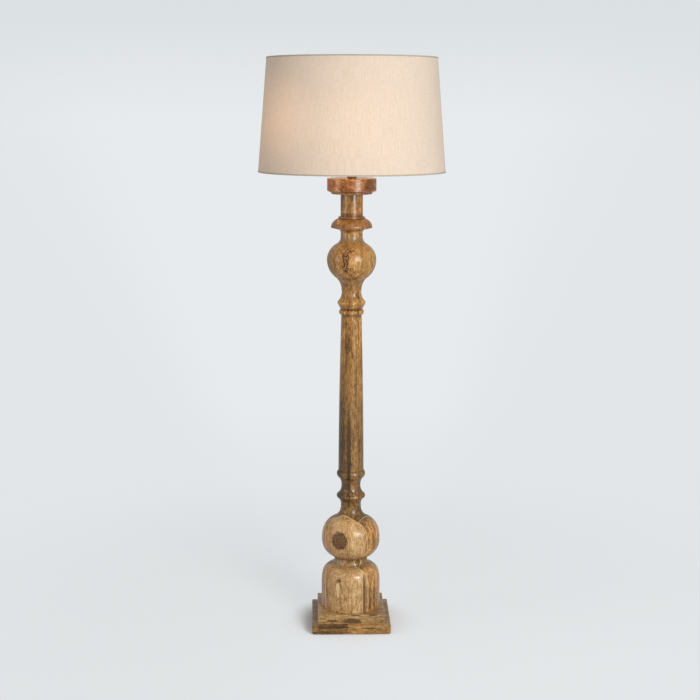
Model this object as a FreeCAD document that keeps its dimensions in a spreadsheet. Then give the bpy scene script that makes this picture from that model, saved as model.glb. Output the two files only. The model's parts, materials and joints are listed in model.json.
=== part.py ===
import FreeCAD, Part
import math
import os

import Sketcher
from FreeCAD import Rotation, Vector

# Candlestick floor lamp: a turned wooden stand on a stepped square plinth, held together by a
# hollow threaded rod, with a lampholder, a bulb and a tapered linen shade.
# Millimetres. The origin is on the floor under the middle of the plinth, +Z is up, and the
# front of the lamp faces -Y.

doc = FreeCAD.newDocument("candlestick_floor_lamp")
sheet = doc.addObject("Spreadsheet::Sheet", "Sizes")
ROWS = []  # the names in the sheet, one to a row


class Size:
    """A length or an angle: its number, and the sheet formula that gives the number."""

    def __init__(self, value, text):
        self.value = value
        self.text = text

    def _join(self, other, sign, result):
        return Size(result, "(%s %s %s)" % (self.text, sign, other.text))

    def __add__(self, other):
        other = as_size(other)
        return self._join(other, "+", self.value + other.value)

    def __radd__(self, other):
        return as_size(other) + self

    def __sub__(self, other):
        other = as_size(other)
        return self._join(other, "-", self.value - other.value)

    def __rsub__(self, other):
        return as_size(other) - self

    def __mul__(self, other):
        other = as_size(other)
        return self._join(other, "*", self.value * other.value)

    def __rmul__(self, other):
        return as_size(other) * self

    def __truediv__(self, other):
        other = as_size(other)
        return self._join(other, "/", self.value / other.value)

    def __rtruediv__(self, other):
        return as_size(other) / self

    def __neg__(self):
        return Size(-self.value, "(0 - %s)" % self.text)


def as_size(number):
    if isinstance(number, Size):
        return number
    return Size(float(number), repr(float(number)))


def cosine(angle):
    return Size(math.cos(math.radians(angle.value)), "cos(%s)" % angle.text)


def sine(angle):
    return Size(math.sin(math.radians(angle.value)), "sin(%s)" % angle.text)


def root(number):
    return Size(math.sqrt(number.value), "sqrt(%s)" % number.text)


def size(alias, number):
    """One driving size: a row of the sheet with its name, its number and its alias."""
    ROWS.append(alias)
    row = len(ROWS)
    sheet.set("A%d" % row, alias)
    sheet.set("B%d" % row, repr(float(number)))
    sheet.setAlias("B%d" % row, alias)
    return Size(float(number), "Sizes." + alias)


# ---------------------------------------------------------------- driving sizes
# Clearances
tenon_gap = size("tenon_gap", 0.15)
socket_spare = size("socket_spare", 1.0)
bore_gap = size("bore_gap", 0.6)
thread_gap = size("thread_gap", 0.08)
slip_gap = size("slip_gap", 0.3)
seat_gap = size("seat_gap", 0.2)

# Plinth and what is under it
pad_r = size("pad_r", 10)
pad_thickness = size("pad_thickness", 2)
pad_inset = size("pad_inset", 16)
base_width = size("base_width", 215.5)
base_height = size("base_height", 24.5)
base_foot_r = size("base_foot_r", 5.5)
step_width = size("step_width", 184.5)
step_height = size("step_height", 24.5)
tier_edge_r = size("tier_edge_r", 2.5)
weight_r = size("weight_r", 79)
weight_thickness = size("weight_thickness", 11)
weight_rim_gap = size("weight_rim_gap", 1)
weight_inset = size("weight_inset", 2)
nut_well_r = size("nut_well_r", 17)
nut_well_depth = size("nut_well_depth", 8)
cord_slot_width = size("cord_slot_width", 9)
cord_slot_depth = size("cord_slot_depth", 9)
weight_screw_ring_r = size("weight_screw_ring_r", 62)
weight_screw_r = size("weight_screw_r", 2)
weight_screw_head_r = size("weight_screw_head_r", 4)
weight_screw_length = size("weight_screw_length", 17)
weight_screw_count = size("weight_screw_count", 3)
dowel_r = size("dowel_r", 4)
dowel_length = size("dowel_length", 18)
dowel_offset = size("dowel_offset", 55)
grommet_bore_r = size("grommet_bore_r", 3.6)
grommet_sleeve_r = size("grommet_sleeve_r", 5.2)
grommet_flange_r = size("grommet_flange_r", 6.3)
grommet_flange_thickness = size("grommet_flange_thickness", 2)
grommet_length = size("grommet_length", 14)

# Rod, washer and nut
rod_r = size("rod_r", 5)
rod_bore_r = size("rod_bore_r", 4)
rod_tail = size("rod_tail", 0.5)
washer_r = size("washer_r", 14)
washer_thickness = size("washer_thickness", 1.5)
nut_flats = size("nut_flats", 14)
nut_height = size("nut_height", 4)

# Tenons of the turned pieces
tenon_r = size("tenon_r", 15)
tenon_length = size("tenon_length", 15)
tenon_chamfer = size("tenon_chamfer", 1)

# Bell
bell_r = size("bell_r", 81.2)
bell_straight = size("bell_straight", 70.9)
bell_foot_r = size("bell_foot_r", 1.5)
bell_crown_r = size("bell_crown_r", 119.2)
bell_crown_angle = size("bell_crown_angle", 12.8)
bell_flank_angle = size("bell_flank_angle", 73.4)
bell_cove_r = size("bell_cove_r", 16)
bell_neck_r = size("bell_neck_r", 45.8)

# Lower ball
ball_r = size("ball_r", 80.5)
ball_under_cove_r = size("ball_under_cove_r", 12.4)
ball_under_angle = size("ball_under_angle", 63.9)
ball_under_crown_r = size("ball_under_crown_r", 69.9)
ball_under_crown_angle = size("ball_under_crown_angle", 10.6)
ball_top_crown_r = size("ball_top_crown_r", 105.3)
ball_top_crown_angle = size("ball_top_crown_angle", 13.9)
ball_top_angle = size("ball_top_angle", 66.4)
ball_top_cove_r = size("ball_top_cove_r", 33.1)
ball_neck_r = size("ball_neck_r", 27.8)
ball_neck_straight = size("ball_neck_straight", 4)

# Column with its beads
foot_cove_height = size("foot_cove_height", 21.9)
foot_cove_hollow = size("foot_cove_hollow", 3.5)
ridge_r = size("ridge_r", 37.4)
ridge_height = size("ridge_height", 10.5)
ridge_swell = size("ridge_swell", 2)
scotia_low_height = size("scotia_low_height", 23.6)
scotia_high_height = size("scotia_high_height", 25.6)
scotia_neck_r = size("scotia_neck_r", 26.5)
scotia_hollow = size("scotia_hollow", 3.4)
foot_bead_r = size("foot_bead_r", 36.4)
foot_bead_height = size("foot_bead_height", 16.2)
foot_bead_swell = size("foot_bead_swell", 2.7)
column_foot_r = size("column_foot_r", 34.7)
column_length = size("column_length", 434.9)
column_swell = size("column_swell", 1.2)
column_top_r = size("column_top_r", 27.6)
small_bead_r = size("small_bead_r", 29)
small_bead_height = size("small_bead_height", 14.3)
small_bead_swell = size("small_bead_swell", 5.1)
neck_ridge_rise = size("neck_ridge_rise", 12.4)
neck_ridge_r = size("neck_ridge_r", 35.3)
neck_ridge_height = size("neck_ridge_height", 11.7)
neck_ridge_swell = size("neck_ridge_swell", 2.7)
top_cove_height = size("top_cove_height", 29)
top_cove_hollow = size("top_cove_hollow", 3.7)
top_neck_r = size("top_neck_r", 27)

# Upper ball
orb_r = size("orb_r", 66.4)
orb_under_cove_r = size("orb_under_cove_r", 43.6)
orb_under_angle = size("orb_under_angle", 52)
orb_under_crown_r = size("orb_under_crown_r", 62.6)
orb_under_crown_angle = size("orb_under_crown_angle", 19.6)
orb_top_crown_r = size("orb_top_crown_r", 46.3)
orb_top_crown_angle = size("orb_top_crown_angle", 24.4)
orb_top_angle = size("orb_top_angle", 60.6)
orb_top_cove_r = size("orb_top_cove_r", 21.6)
orb_neck_r = size("orb_neck_r", 29.6)
orb_neck_straight = size("orb_neck_straight", 11.4)

# Collar and candle
collar_cove_height = size("collar_cove_height", 8.1)
collar_cove_hollow = size("collar_cove_hollow", 1.5)
collar_under_r = size("collar_under_r", 35.7)
collar_under_height = size("collar_under_height", 4.7)
collar_r = size("collar_r", 54.8)
collar_edge_height = size("collar_edge_height", 6.8)
collar_edge_swell = size("collar_edge_swell", 0.7)
collar_top_height = size("collar_top_height", 18.2)
collar_top_swell = size("collar_top_swell", 3.4)
collar_fillet_r = size("collar_fillet_r", 35.3)
collar_bead_height = size("collar_bead_height", 4.8)
collar_bead_swell = size("collar_bead_swell", 0.8)
candle_r = size("candle_r", 29.9)
candle_height = size("candle_height", 60.3)

# Drip pan
pan_lip_r = size("pan_lip_r", 54.8)
pan_lip_height = size("pan_lip_height", 4.5)
pan_slope_height = size("pan_slope_height", 4.4)
pan_slope_r = size("pan_slope_r", 57)
pan_r = size("pan_r", 65.9)
pan_height = size("pan_height", 33.1)
pan_edge_r = size("pan_edge_r", 2)

# Lampholder
spacer_r = size("spacer_r", 12)
spacer_length = size("spacer_length", 32.4)
holder_cap_r = size("holder_cap_r", 20.1)
holder_cap_height = size("holder_cap_height", 24)
holder_cap_dome = size("holder_cap_dome", 10)
holder_cap_bulge = size("holder_cap_bulge", 2)
holder_cap_lip = size("holder_cap_lip", 1.5)
holder_wall = size("holder_wall", 1)
hub_r = size("hub_r", 9)
hub_height = size("hub_height", 9)
skirt_r = size("skirt_r", 19)
skirt_wall = size("skirt_wall", 0.8)
skirt_lap = size("skirt_lap", 8)
skirt_length = size("skirt_length", 46)
skirt_lip = size("skirt_lip", 2)
core_floor = size("core_floor", 24)
core_length = size("core_length", 46.8)
core_bore_r = size("core_bore_r", 14.7)
wire_hole_r = size("wire_hole_r", 2)
socket_wall = size("socket_wall", 0.6)
socket_length = size("socket_length", 22)
socket_floor_r = size("socket_floor_r", 9)
contact_width = size("contact_width", 6)
contact_thickness = size("contact_thickness", 0.6)
contact_rise = size("contact_rise", 2)
contact_reach = size("contact_reach", 7)
terminal_ring_r = size("terminal_ring_r", 13)
terminal_screw_r = size("terminal_screw_r", 1.5)
terminal_head_r = size("terminal_head_r", 2.6)
terminal_head_height = size("terminal_head_height", 1.6)
terminal_length = size("terminal_length", 7)
switch_bar_r = size("switch_bar_r", 3)
switch_bar_rise = size("switch_bar_rise", 30)
switch_stroke = size("switch_stroke", 6)
switch_stub = size("switch_stub", 1.5)
ring_seat_rise = size("ring_seat_rise", 44)
ring_r = size("ring_r", 27)
ring_flange = size("ring_flange", 2.5)
ring_hub_r = size("ring_hub_r", 22)
ring_hub_height = size("ring_hub_height", 5)

# Bulb
lamp_cap_r = size("lamp_cap_r", 13.2)
lamp_cap_length = size("lamp_cap_length", 24)
lamp_cap_wall = size("lamp_cap_wall", 0.8)
lamp_cap_cone = size("lamp_cap_cone", 3)
tip_r = size("tip_r", 4.5)
tip_height = size("tip_height", 1.5)
tip_cone_r = size("tip_cone_r", 9)
tip_cone_height = size("tip_cone_height", 3)
globe_r = size("globe_r", 30)
globe_rise = size("globe_rise", 75)
globe_angle = size("globe_angle", 35)
globe_wall = size("globe_wall", 0.8)
glass_neck_r = size("glass_neck_r", 14)
glass_neck_height = size("glass_neck_height", 5)
glass_flank_r = size("glass_flank_r", 60)
stem_r = size("stem_r", 2.5)
stem_height = size("stem_height", 34)
stem_disc_r = size("stem_disc_r", 7)
stem_disc_thickness = size("stem_disc_thickness", 1)
filament_r = size("filament_r", 0.9)
filament_length = size("filament_length", 26)
filament_count = size("filament_count", 4)

# Shade
shade_bottom_r = size("shade_bottom_r", 249.5)
shade_top_r = size("shade_top_r", 225.5)
shade_height = size("shade_height", 299)
linen_thickness = size("linen_thickness", 0.8)
liner_thickness = size("liner_thickness", 0.6)
hem_thickness = size("hem_thickness", 0.5)
hem_height = size("hem_height", 3)
wire_r = size("wire_r", 2.2)
fitting_rise = size("fitting_rise", 60)
fitting_thickness = size("fitting_thickness", 1.6)
arm_gap = size("arm_gap", 2)
arm_lap = size("arm_lap", 5)
arm_wire_r = size("arm_wire_r", 2)
arm_flat_r = size("arm_flat_r", 62)
arm_bend_r = size("arm_bend_r", 14)
arm_count = size("arm_count", 3)

doc.recompute()

ZERO = as_size(0)
LEFT = 1  # an arc's centre lies left of the way of travel
RIGHT = -1  # an arc's centre lies right of the way of travel


# ---------------------------------------------------------------- helpers
def new_body(name, low=ZERO, turn=None, place=None):
    """A body under its own name, standing at height low, perhaps turned and moved aside."""
    body = doc.addObject("PartDesign::Body", name)
    body.Label = name
    body.AllowCompound = True
    if turn is not None:
        body.Placement = FreeCAD.Placement(Vector(0, 0, 0), turn)
    x, y = place if place else (ZERO, ZERO)
    for axis, length in (("x", x), ("y", y), ("z", low)):
        body.setExpression("Placement.Base." + axis, length.text)
    return body


def new_sketch(body, name, plane="XZ_Plane", shift=None):
    """A sketch on one of the body's own origin planes, shifted along the plane's normal."""
    sketch = body.newObject("Sketcher::SketchObject", name)
    face = [part for part in body.Origin.OriginFeatures if part.Role == plane][0]
    sketch.AttachmentSupport = [(face, "")]
    sketch.MapMode = "FlatFace"
    if shift is not None:
        sketch.setExpression("AttachmentOffset.Base.z", shift.text)
    return sketch


def bind(sketch, kind, first, second, length):
    """A dimension between two points, written so that its number is never negative."""
    if length.value < 0:
        first, second, length = second, first, -length
    index = sketch.addConstraint(
        Sketcher.Constraint(kind, first[0], first[1], second[0], second[1], length.value)
    )
    sketch.setExpression("Constraints[%d]" % index, length.text)


ORIGIN = (-1, 1)


def place_point(sketch, point, x, y):
    """Ties a point to the sketch's origin by two dimensions, or to an axis where one is nought."""
    for kind, length, axis in (("DistanceX", x, -2), ("DistanceY", y, -1)):
        if length.value == 0:
            sketch.addConstraint(Sketcher.Constraint("PointOnObject", point[0], point[1], axis))
        else:
            bind(sketch, kind, ORIGIN, point, length)


def arc_centre(x0, y0, x1, y1, radius, side):
    """The centre of the arc of that radius from one point to another."""
    dx, dy = x1 - x0, y1 - y0
    chord = math.hypot(dx, dy)
    away = math.sqrt(max(radius * radius - chord * chord / 4, 0.0))
    return (x0 + x1) / 2 - side * dy / chord * away, (y0 + y1) / 2 + side * dx / chord * away


def outline(sketch, start, steps):
    """A closed outline of lines and arcs.

    start is (x, y). A step is (x, rise) for a line, and (x, rise, radius, side) for an arc: x is
    measured from the axis and rise from the point before. A last line closes the outline.
    """
    x, y = start[0].value, start[1].value
    first = (x, y)
    ends = []
    for step in steps:
        next_x, next_y = step[0].value, y + step[1].value
        if len(step) == 2:
            line = Part.LineSegment(Vector(x, y, 0), Vector(next_x, next_y, 0))
            geo = sketch.addGeometry(line, False)
            ends.append((geo, 1, 2))
        else:
            radius, side = step[2], step[3]
            cx, cy = arc_centre(x, y, next_x, next_y, radius.value, side)
            from_angle = math.atan2(y - cy, x - cx)
            to_angle = math.atan2(next_y - cy, next_x - cx)
            circle = Part.Circle(Vector(cx, cy, 0), Vector(0, 0, 1), radius.value)
            if side == LEFT:
                geo = sketch.addGeometry(Part.ArcOfCircle(circle, from_angle, to_angle), False)
                ends.append((geo, 1, 2))
            else:
                geo = sketch.addGeometry(Part.ArcOfCircle(circle, to_angle, from_angle), False)
                ends.append((geo, 2, 1))
        x, y = next_x, next_y
    line = Part.LineSegment(Vector(x, y, 0), Vector(first[0], first[1], 0))
    ends.append((sketch.addGeometry(line, False), 1, 2))
    for near, far in zip(ends, ends[1:] + ends[:1]):
        sketch.addConstraint(Sketcher.Constraint("Coincident", near[0], near[2], far[0], far[1]))
    place_point(sketch, (ends[0][0], ends[0][1]), start[0], start[1])
    for (geo, begin, end), step in zip(ends, steps):
        if step[0].value == 0:
            sketch.addConstraint(Sketcher.Constraint("PointOnObject", geo, end, -2))
        else:
            bind(sketch, "DistanceX", ORIGIN, (geo, end), step[0])
        if step[1].value == 0:
            sketch.addConstraint(Sketcher.Constraint("Horizontal", geo, begin, geo, end))
        else:
            bind(sketch, "DistanceY", (geo, begin), (geo, end), step[1])
        if len(step) == 4:
            index = sketch.addConstraint(Sketcher.Constraint("Radius", geo, step[2].value))
            sketch.setExpression("Constraints[%d]" % index, step[2].text)


def revolve(body, name, start, steps):
    """Turns an outline about the body's own Z axis."""
    sketch = new_sketch(body, name + "_outline")
    outline(sketch, start, steps)
    feature = body.newObject("PartDesign::Revolution", name)
    feature.Profile = sketch
    feature.ReferenceAxis = (sketch, ["V_Axis"])
    feature.Angle = 360
    body.Tip = feature
    return feature


def turned(name, low, start, steps, turn=None):
    body = new_body(name, low, turn)
    revolve(body, name + "_turned", start, steps)
    return body


def circles(sketch, spots, radius):
    for x, y in spots:
        circle = Part.Circle(Vector(x.value, y.value, 0), Vector(0, 0, 1), radius.value)
        geo = sketch.addGeometry(circle, False)
        place_point(sketch, (geo, 3), x, y)
        index = sketch.addConstraint(Sketcher.Constraint("Radius", geo, radius.value))
        sketch.setExpression("Constraints[%d]" % index, radius.text)


def rectangle(sketch, left, right, low, high):
    """A rectangle between four lines, each at its own distance from the axes."""
    outline(
        sketch,
        (left, low),
        [(right, ZERO), (right, high - low), (left, ZERO)],
    )


def pad(body, sketch, length, symmetric=False):
    feature = body.newObject("PartDesign::Pad", sketch.Name + "_pad")
    feature.Profile = sketch
    feature.setExpression("Length", length.text)
    feature.Midplane = symmetric
    body.Tip = feature
    return feature


def pocket(body, sketch, depth=None, upward=True):
    """A cut from the sketch, along its normal where upward is true; right through with no depth."""
    feature = body.newObject("PartDesign::Pocket", sketch.Name + "_cut")
    feature.Profile = sketch
    feature.Reversed = upward
    if depth is None:
        feature.Type = "ThroughAll"
    else:
        feature.setExpression("Length", depth.text)
    body.Tip = feature
    return feature


def fillet(body, feature, wanted, radius):
    """Rounds the edges that the test picks."""
    doc.recompute()
    names = [
        "Edge%d" % (i + 1) for i, edge in enumerate(feature.Shape.Edges) if wanted(edge)
    ]
    rounded = body.newObject("PartDesign::Fillet", body.Name + "_edges")
    rounded.Base = (feature, names)
    rounded.setExpression("Radius", radius.text)
    body.Tip = rounded
    return rounded


def around(body, feature, count):
    """Repeats a feature evenly about the body's own Z axis."""
    pattern = body.newObject("PartDesign::PolarPattern", feature.Name + "_ring")
    pattern.Originals = [feature]
    axis = [part for part in body.Origin.OriginFeatures if part.Role == "Z_Axis"][0]
    pattern.Axis = (axis, [""])
    pattern.Angle = 360
    pattern.setExpression("Occurrences", count.text)
    body.Tip = pattern
    return pattern


def bulge_r(run, rise, bulge):
    """Radius of an arc over a chord (run, rise) that stands out by bulge at its middle."""
    chord = run * run + rise * rise
    return (chord / 4 + bulge * bulge) / (2 * bulge)


def swell(top_r, crown_r, crown_angle, flank_angle, cove_r, neck_r, going_up):
    """One half of a ball, from its widest circle to its neck: three arcs that meet smoothly.

    A crown arc, a flank arc whose radius follows from the others, and a hollow cove that ends
    upright at the neck. Returns the steps and the height of the half.
    """
    crown_drop = crown_r * (1 - cosine(crown_angle))
    crown_rise = crown_r * sine(crown_angle)
    cove_drop = cove_r * (1 - cosine(flank_angle))
    cove_rise = cove_r * sine(flank_angle)
    flank_r = (top_r - neck_r - crown_drop - cove_drop) / (
        cosine(crown_angle) - cosine(flank_angle)
    )
    flank_rise = flank_r * (sine(flank_angle) - sine(crown_angle))
    crown_end = top_r - crown_drop
    cove_start = neck_r + cove_drop
    if going_up:
        steps = [
            (crown_end, crown_rise, crown_r, LEFT),
            (cove_start, flank_rise, flank_r, LEFT),
            (neck_r, cove_rise, cove_r, RIGHT),
        ]
    else:
        steps = [
            (cove_start, cove_rise, cove_r, RIGHT),
            (crown_end, flank_rise, flank_r, LEFT),
            (top_r, crown_rise, crown_r, LEFT),
        ]
    return steps, crown_rise + flank_rise + cove_rise


def bead(at_r, height, bulge):
    """A half-round moulding that stands out from at_r."""
    return [(at_r, height, bulge_r(ZERO, height, bulge), LEFT)]


def hollow(from_r, to_r, height, depth):
    """A cove between two radii."""
    return [(to_r, height, bulge_r(to_r - from_r, height, depth), RIGHT)]


bore_r = rod_r + bore_gap
socket_r = tenon_r + tenon_gap
socket_depth = tenon_length + socket_spare


def tenon():
    """The start and first steps of a turned piece: its tenon, up to the flat shoulder."""
    start = (bore_r, -tenon_length)
    steps = [
        (tenon_r - tenon_chamfer, ZERO),
        (tenon_r, tenon_chamfer),
        (tenon_r, tenon_length - tenon_chamfer),
    ]
    return start, steps


def socket():
    """The last steps of a turned piece: the socket in its flat top, down to the rod's bore."""
    return [(socket_r, ZERO), (socket_r, -socket_depth), (bore_r, ZERO)]


# ---------------------------------------------------------------- heights of the stand
base_low = pad_thickness
step_low = base_low + base_height
bell_low = step_low + step_height
bell_steps, bell_swell_height = swell(
    bell_r, bell_crown_r, bell_crown_angle, bell_flank_angle, bell_cove_r, bell_neck_r, True
)
ball_low = bell_low + bell_straight + bell_swell_height
under_steps, ball_under_height = swell(
    ball_r,
    ball_under_crown_r,
    ball_under_crown_angle,
    ball_under_angle,
    ball_under_cove_r,
    bell_neck_r,
    False,
)
over_steps, ball_over_height = swell(
    ball_r,
    ball_top_crown_r,
    ball_top_crown_angle,
    ball_top_angle,
    ball_top_cove_r,
    ball_neck_r,
    True,
)
column_low = ball_low + ball_under_height + ball_over_height + ball_neck_straight
beads_height = foot_cove_height + ridge_height + scotia_low_height + scotia_high_height
column_height = (
    beads_height
    + foot_bead_height
    + column_length
    + small_bead_height
    + neck_ridge_rise
    + neck_ridge_height
    + top_cove_height
)
orb_low = column_low + column_height
orb_under_steps, orb_under_height = swell(
    orb_r,
    orb_under_crown_r,
    orb_under_crown_angle,
    orb_under_angle,
    orb_under_cove_r,
    top_neck_r,
    False,
)
orb_over_steps, orb_over_height = swell(
    orb_r,
    orb_top_crown_r,
    orb_top_crown_angle,
    orb_top_angle,
    orb_top_cove_r,
    orb_neck_r,
    True,
)
cup_low = orb_low + orb_under_height + orb_over_height + orb_neck_straight
collar_height = (
    collar_cove_height
    + collar_under_height
    + collar_edge_height
    + collar_top_height
    + collar_bead_height
)
pan_low = cup_low + collar_height + candle_height
pan_top = pan_low + pan_lip_height + pan_slope_height + pan_height
holder_low = pan_top + spacer_length

# ---------------------------------------------------------------- plinth
half_base = base_width / 2
half_step = step_width / 2
pad_spot = half_base - pad_inset

pads = new_body("foot_pads")
pads_sketch = new_sketch(pads, "pads_outline", "XY_Plane")
circles(
    pads_sketch,
    [(pad_spot, pad_spot), (-pad_spot, pad_spot), (-pad_spot, -pad_spot), (pad_spot, -pad_spot)],
    pad_r,
)
pad(pads, pads_sketch, pad_thickness)


def upright(edge):
    box = edge.BoundBox
    return box.ZLength > 1 and box.XLength < 0.01 and box.YLength < 0.01


def soften(body, block, height):
    """Rounds a board's uprights and its top edges."""

    def rounded(edge):
        return upright(edge) or edge.BoundBox.ZMin > height.value - 0.01

    fillet(body, block, rounded, tier_edge_r)


recess_depth = weight_inset + weight_thickness
base = new_body("plinth_base", base_low)
base_front = new_sketch(base, "base_front")
flat_half = half_base - base_foot_r
outline(
    base_front,
    (flat_half, ZERO),
    [
        (half_base, base_foot_r, base_foot_r, LEFT),
        (half_base, base_height - base_foot_r),
        (-half_base, ZERO),
        (-half_base, base_foot_r - base_height),
        (-flat_half, -base_foot_r, base_foot_r, LEFT),
    ],
)
soften(base, pad(base, base_front, base_width, symmetric=True), base_height)
recess = new_sketch(base, "recess", "XY_Plane")
circles(recess, [(ZERO, ZERO)], weight_r + weight_rim_gap)
pocket(base, recess, recess_depth)
base_bore = new_sketch(base, "base_bore", "XY_Plane")
circles(base_bore, [(ZERO, ZERO)], bore_r)
pocket(base, base_bore)
screw_depth = weight_inset + weight_screw_length + slip_gap


def ring_spots(count, radius, start=0.0):
    """Points evenly spaced on a circle, the first at the angle start in degrees."""
    spots = []
    for i in range(int(round(count.value))):
        angle = as_size(start) + 360.0 * i / count
        spots.append((radius * cosine(angle), radius * sine(angle)))
    return spots


screw_spots = ring_spots(weight_screw_count, weight_screw_ring_r, -90.0)
pilots = new_sketch(base, "screw_pilots", "XY_Plane")
circles(pilots, screw_spots, weight_screw_r + thread_gap)
pocket(base, pilots, screw_depth)
dowel_spots = [(dowel_offset, dowel_offset), (-dowel_offset, -dowel_offset)]
dowel_depth = dowel_length / 2 + slip_gap
base_dowels = new_sketch(base, "base_dowel_holes", "XY_Plane", base_height)
circles(base_dowels, dowel_spots, dowel_r + thread_gap)
pocket(base, base_dowels, dowel_depth, upward=False)
inlet_height = weight_inset + cord_slot_depth / 2
inlet = new_sketch(base, "cord_inlet", "XZ_Plane")
circles(inlet, [(ZERO, inlet_height)], grommet_sleeve_r + thread_gap)
pocket(base, inlet, upward=False)

step = new_body("plinth_step", step_low)
step_outline = new_sketch(step, "step_outline", "XY_Plane")
rectangle(step_outline, -half_step, half_step, -half_step, half_step)
soften(step, pad(step, step_outline, step_height), step_height)
step_bore = new_sketch(step, "step_bore", "XY_Plane")
circles(step_bore, [(ZERO, ZERO)], bore_r)
pocket(step, step_bore)
step_socket = new_sketch(step, "step_socket", "XY_Plane", step_height)
circles(step_socket, [(ZERO, ZERO)], socket_r)
pocket(step, step_socket, socket_depth, upward=False)
step_dowels = new_sketch(step, "step_dowel_holes", "XY_Plane")
circles(step_dowels, dowel_spots, dowel_r + thread_gap)
pocket(step, step_dowels, dowel_depth)

dowels = new_body("tier_dowels", step_low - dowel_length / 2)
dowel_sketch = new_sketch(dowels, "dowel_outline", "XY_Plane")
circles(dowel_sketch, dowel_spots, dowel_r)
pad(dowels, dowel_sketch, dowel_length)

weight_low = base_low + weight_inset
weight = turned(
    "base_weight",
    weight_low,
    (nut_well_r, ZERO),
    [
        (weight_r, ZERO),
        (weight_r, weight_thickness),
        (bore_r, ZERO),
        (bore_r, nut_well_depth - weight_thickness),
        (nut_well_r, ZERO),
    ],
)
slot = new_sketch(weight, "cord_slot", "XY_Plane")
half_slot = cord_slot_width / 2
rectangle(slot, -half_slot, half_slot, ZERO, weight_r + weight_rim_gap)
pocket(weight, slot, cord_slot_depth)
screw_holes = new_sketch(weight, "weight_screw_holes", "XY_Plane")
circles(screw_holes, screw_spots, weight_screw_r + slip_gap)
pocket(weight, screw_holes)
head_height = weight_screw_head_r - weight_screw_r
for i, (x, y) in enumerate(screw_spots):
    sink = new_sketch(weight, "countersink_%d" % (i + 1), "XY_Plane")
    circles(sink, [(x, y)], weight_screw_head_r + slip_gap)
    pocket(weight, sink, head_height)

screws = new_body("weight_screws", weight_low)
shank_sketch = new_sketch(screws, "shanks", "XY_Plane")
circles(shank_sketch, screw_spots, weight_screw_r)
pad(screws, shank_sketch, weight_screw_length)
head_sketch = new_sketch(screws, "heads", "XY_Plane")
circles(head_sketch, screw_spots, weight_screw_head_r)
pad(screws, head_sketch, head_height)

grommet = turned(
    "cord_grommet",
    base_low + inlet_height,
    (grommet_bore_r, -grommet_length),
    [
        (grommet_sleeve_r, ZERO),
        (grommet_sleeve_r, grommet_length),
        (grommet_flange_r, ZERO),
        (grommet_flange_r, grommet_flange_thickness),
        (grommet_bore_r, ZERO),
    ],
    turn=Rotation(Vector(1, 0, 0), -90),
)
grommet.setExpression("Placement.Base.y", half_base.text)

# ---------------------------------------------------------------- rod, washer and nut
well_roof = weight_low + nut_well_depth
washer_low = well_roof - washer_thickness
nut_low = washer_low - nut_height
washer = turned(
    "rod_washer",
    washer_low,
    (rod_r + slip_gap, ZERO),
    [(washer_r, ZERO), (washer_r, washer_thickness), (rod_r + slip_gap, ZERO)],
)
nut = new_body("rod_nut", nut_low)
nut_sketch = new_sketch(nut, "nut_outline", "XY_Plane")
corner_r = nut_flats / 2 / cosine(as_size(30))
corners = ring_spots(as_size(6), corner_r)
outline(
    nut_sketch,
    corners[0],
    [(corners[i][0], corners[i][1] - corners[i - 1][1]) for i in range(1, 6)],
)
circles(nut_sketch, [(ZERO, ZERO)], rod_r + thread_gap)
pad(nut, nut_sketch, nut_height)
rod_low = nut_low - rod_tail
rod_top = holder_low + hub_height
turned(
    "threaded_rod",
    rod_low,
    (rod_bore_r, ZERO),
    [(rod_r, ZERO), (rod_r, rod_top - rod_low), (rod_bore_r, ZERO)],
)

# ---------------------------------------------------------------- turned stand
start, steps = tenon()
turned(
    "lower_bell",
    bell_low,
    start,
    steps
    + [
        (bell_r - bell_foot_r, ZERO),
        (bell_r, bell_foot_r, bell_foot_r, LEFT),
        (bell_r, bell_straight - bell_foot_r),
    ]
    + bell_steps
    + socket(),
)
start, steps = tenon()
turned(
    "lower_ball",
    ball_low,
    start,
    steps
    + [(bell_neck_r, ZERO)]
    + under_steps
    + over_steps
    + [(ball_neck_r, ball_neck_straight)]
    + socket(),
)
start, steps = tenon()
turned(
    "column",
    column_low,
    start,
    steps
    + [(ball_neck_r, ZERO)]
    + hollow(ball_neck_r, ridge_r, foot_cove_height, foot_cove_hollow)
    + bead(ridge_r, ridge_height, ridge_swell)
    + hollow(ridge_r, scotia_neck_r, scotia_low_height, scotia_hollow)
    + hollow(scotia_neck_r, foot_bead_r, scotia_high_height, scotia_hollow)
    + bead(foot_bead_r, foot_bead_height, foot_bead_swell)
    + [
        (column_foot_r, ZERO),
        (
            column_top_r,
            column_length,
            bulge_r(column_foot_r - column_top_r, column_length, column_swell),
            LEFT,
        ),
        (small_bead_r, ZERO),
    ]
    + bead(small_bead_r, small_bead_height, small_bead_swell)
    + [(neck_ridge_r, neck_ridge_rise)]
    + bead(neck_ridge_r, neck_ridge_height, neck_ridge_swell)
    + hollow(neck_ridge_r, top_neck_r, top_cove_height, top_cove_hollow)
    + socket(),
)
start, steps = tenon()
turned(
    "upper_ball",
    orb_low,
    start,
    steps
    + [(top_neck_r, ZERO)]
    + orb_under_steps
    + orb_over_steps
    + [(orb_neck_r, orb_neck_straight)]
    + socket(),
)
start, steps = tenon()
turned(
    "candle_cup",
    cup_low,
    start,
    steps
    + [(orb_neck_r, ZERO)]
    + hollow(orb_neck_r, collar_under_r, collar_cove_height, collar_cove_hollow)
    + [(collar_r, collar_under_height)]
    + bead(collar_r, collar_edge_height, collar_edge_swell)
    + [
        (
            collar_fillet_r,
            collar_top_height,
            bulge_r(collar_r - collar_fillet_r, collar_top_height, collar_top_swell),
            LEFT,
        )
    ]
    + bead(collar_fillet_r, collar_bead_height, collar_bead_swell)
    + [(candle_r, ZERO), (candle_r, candle_height)]
    + socket(),
)
start, steps = tenon()
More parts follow.
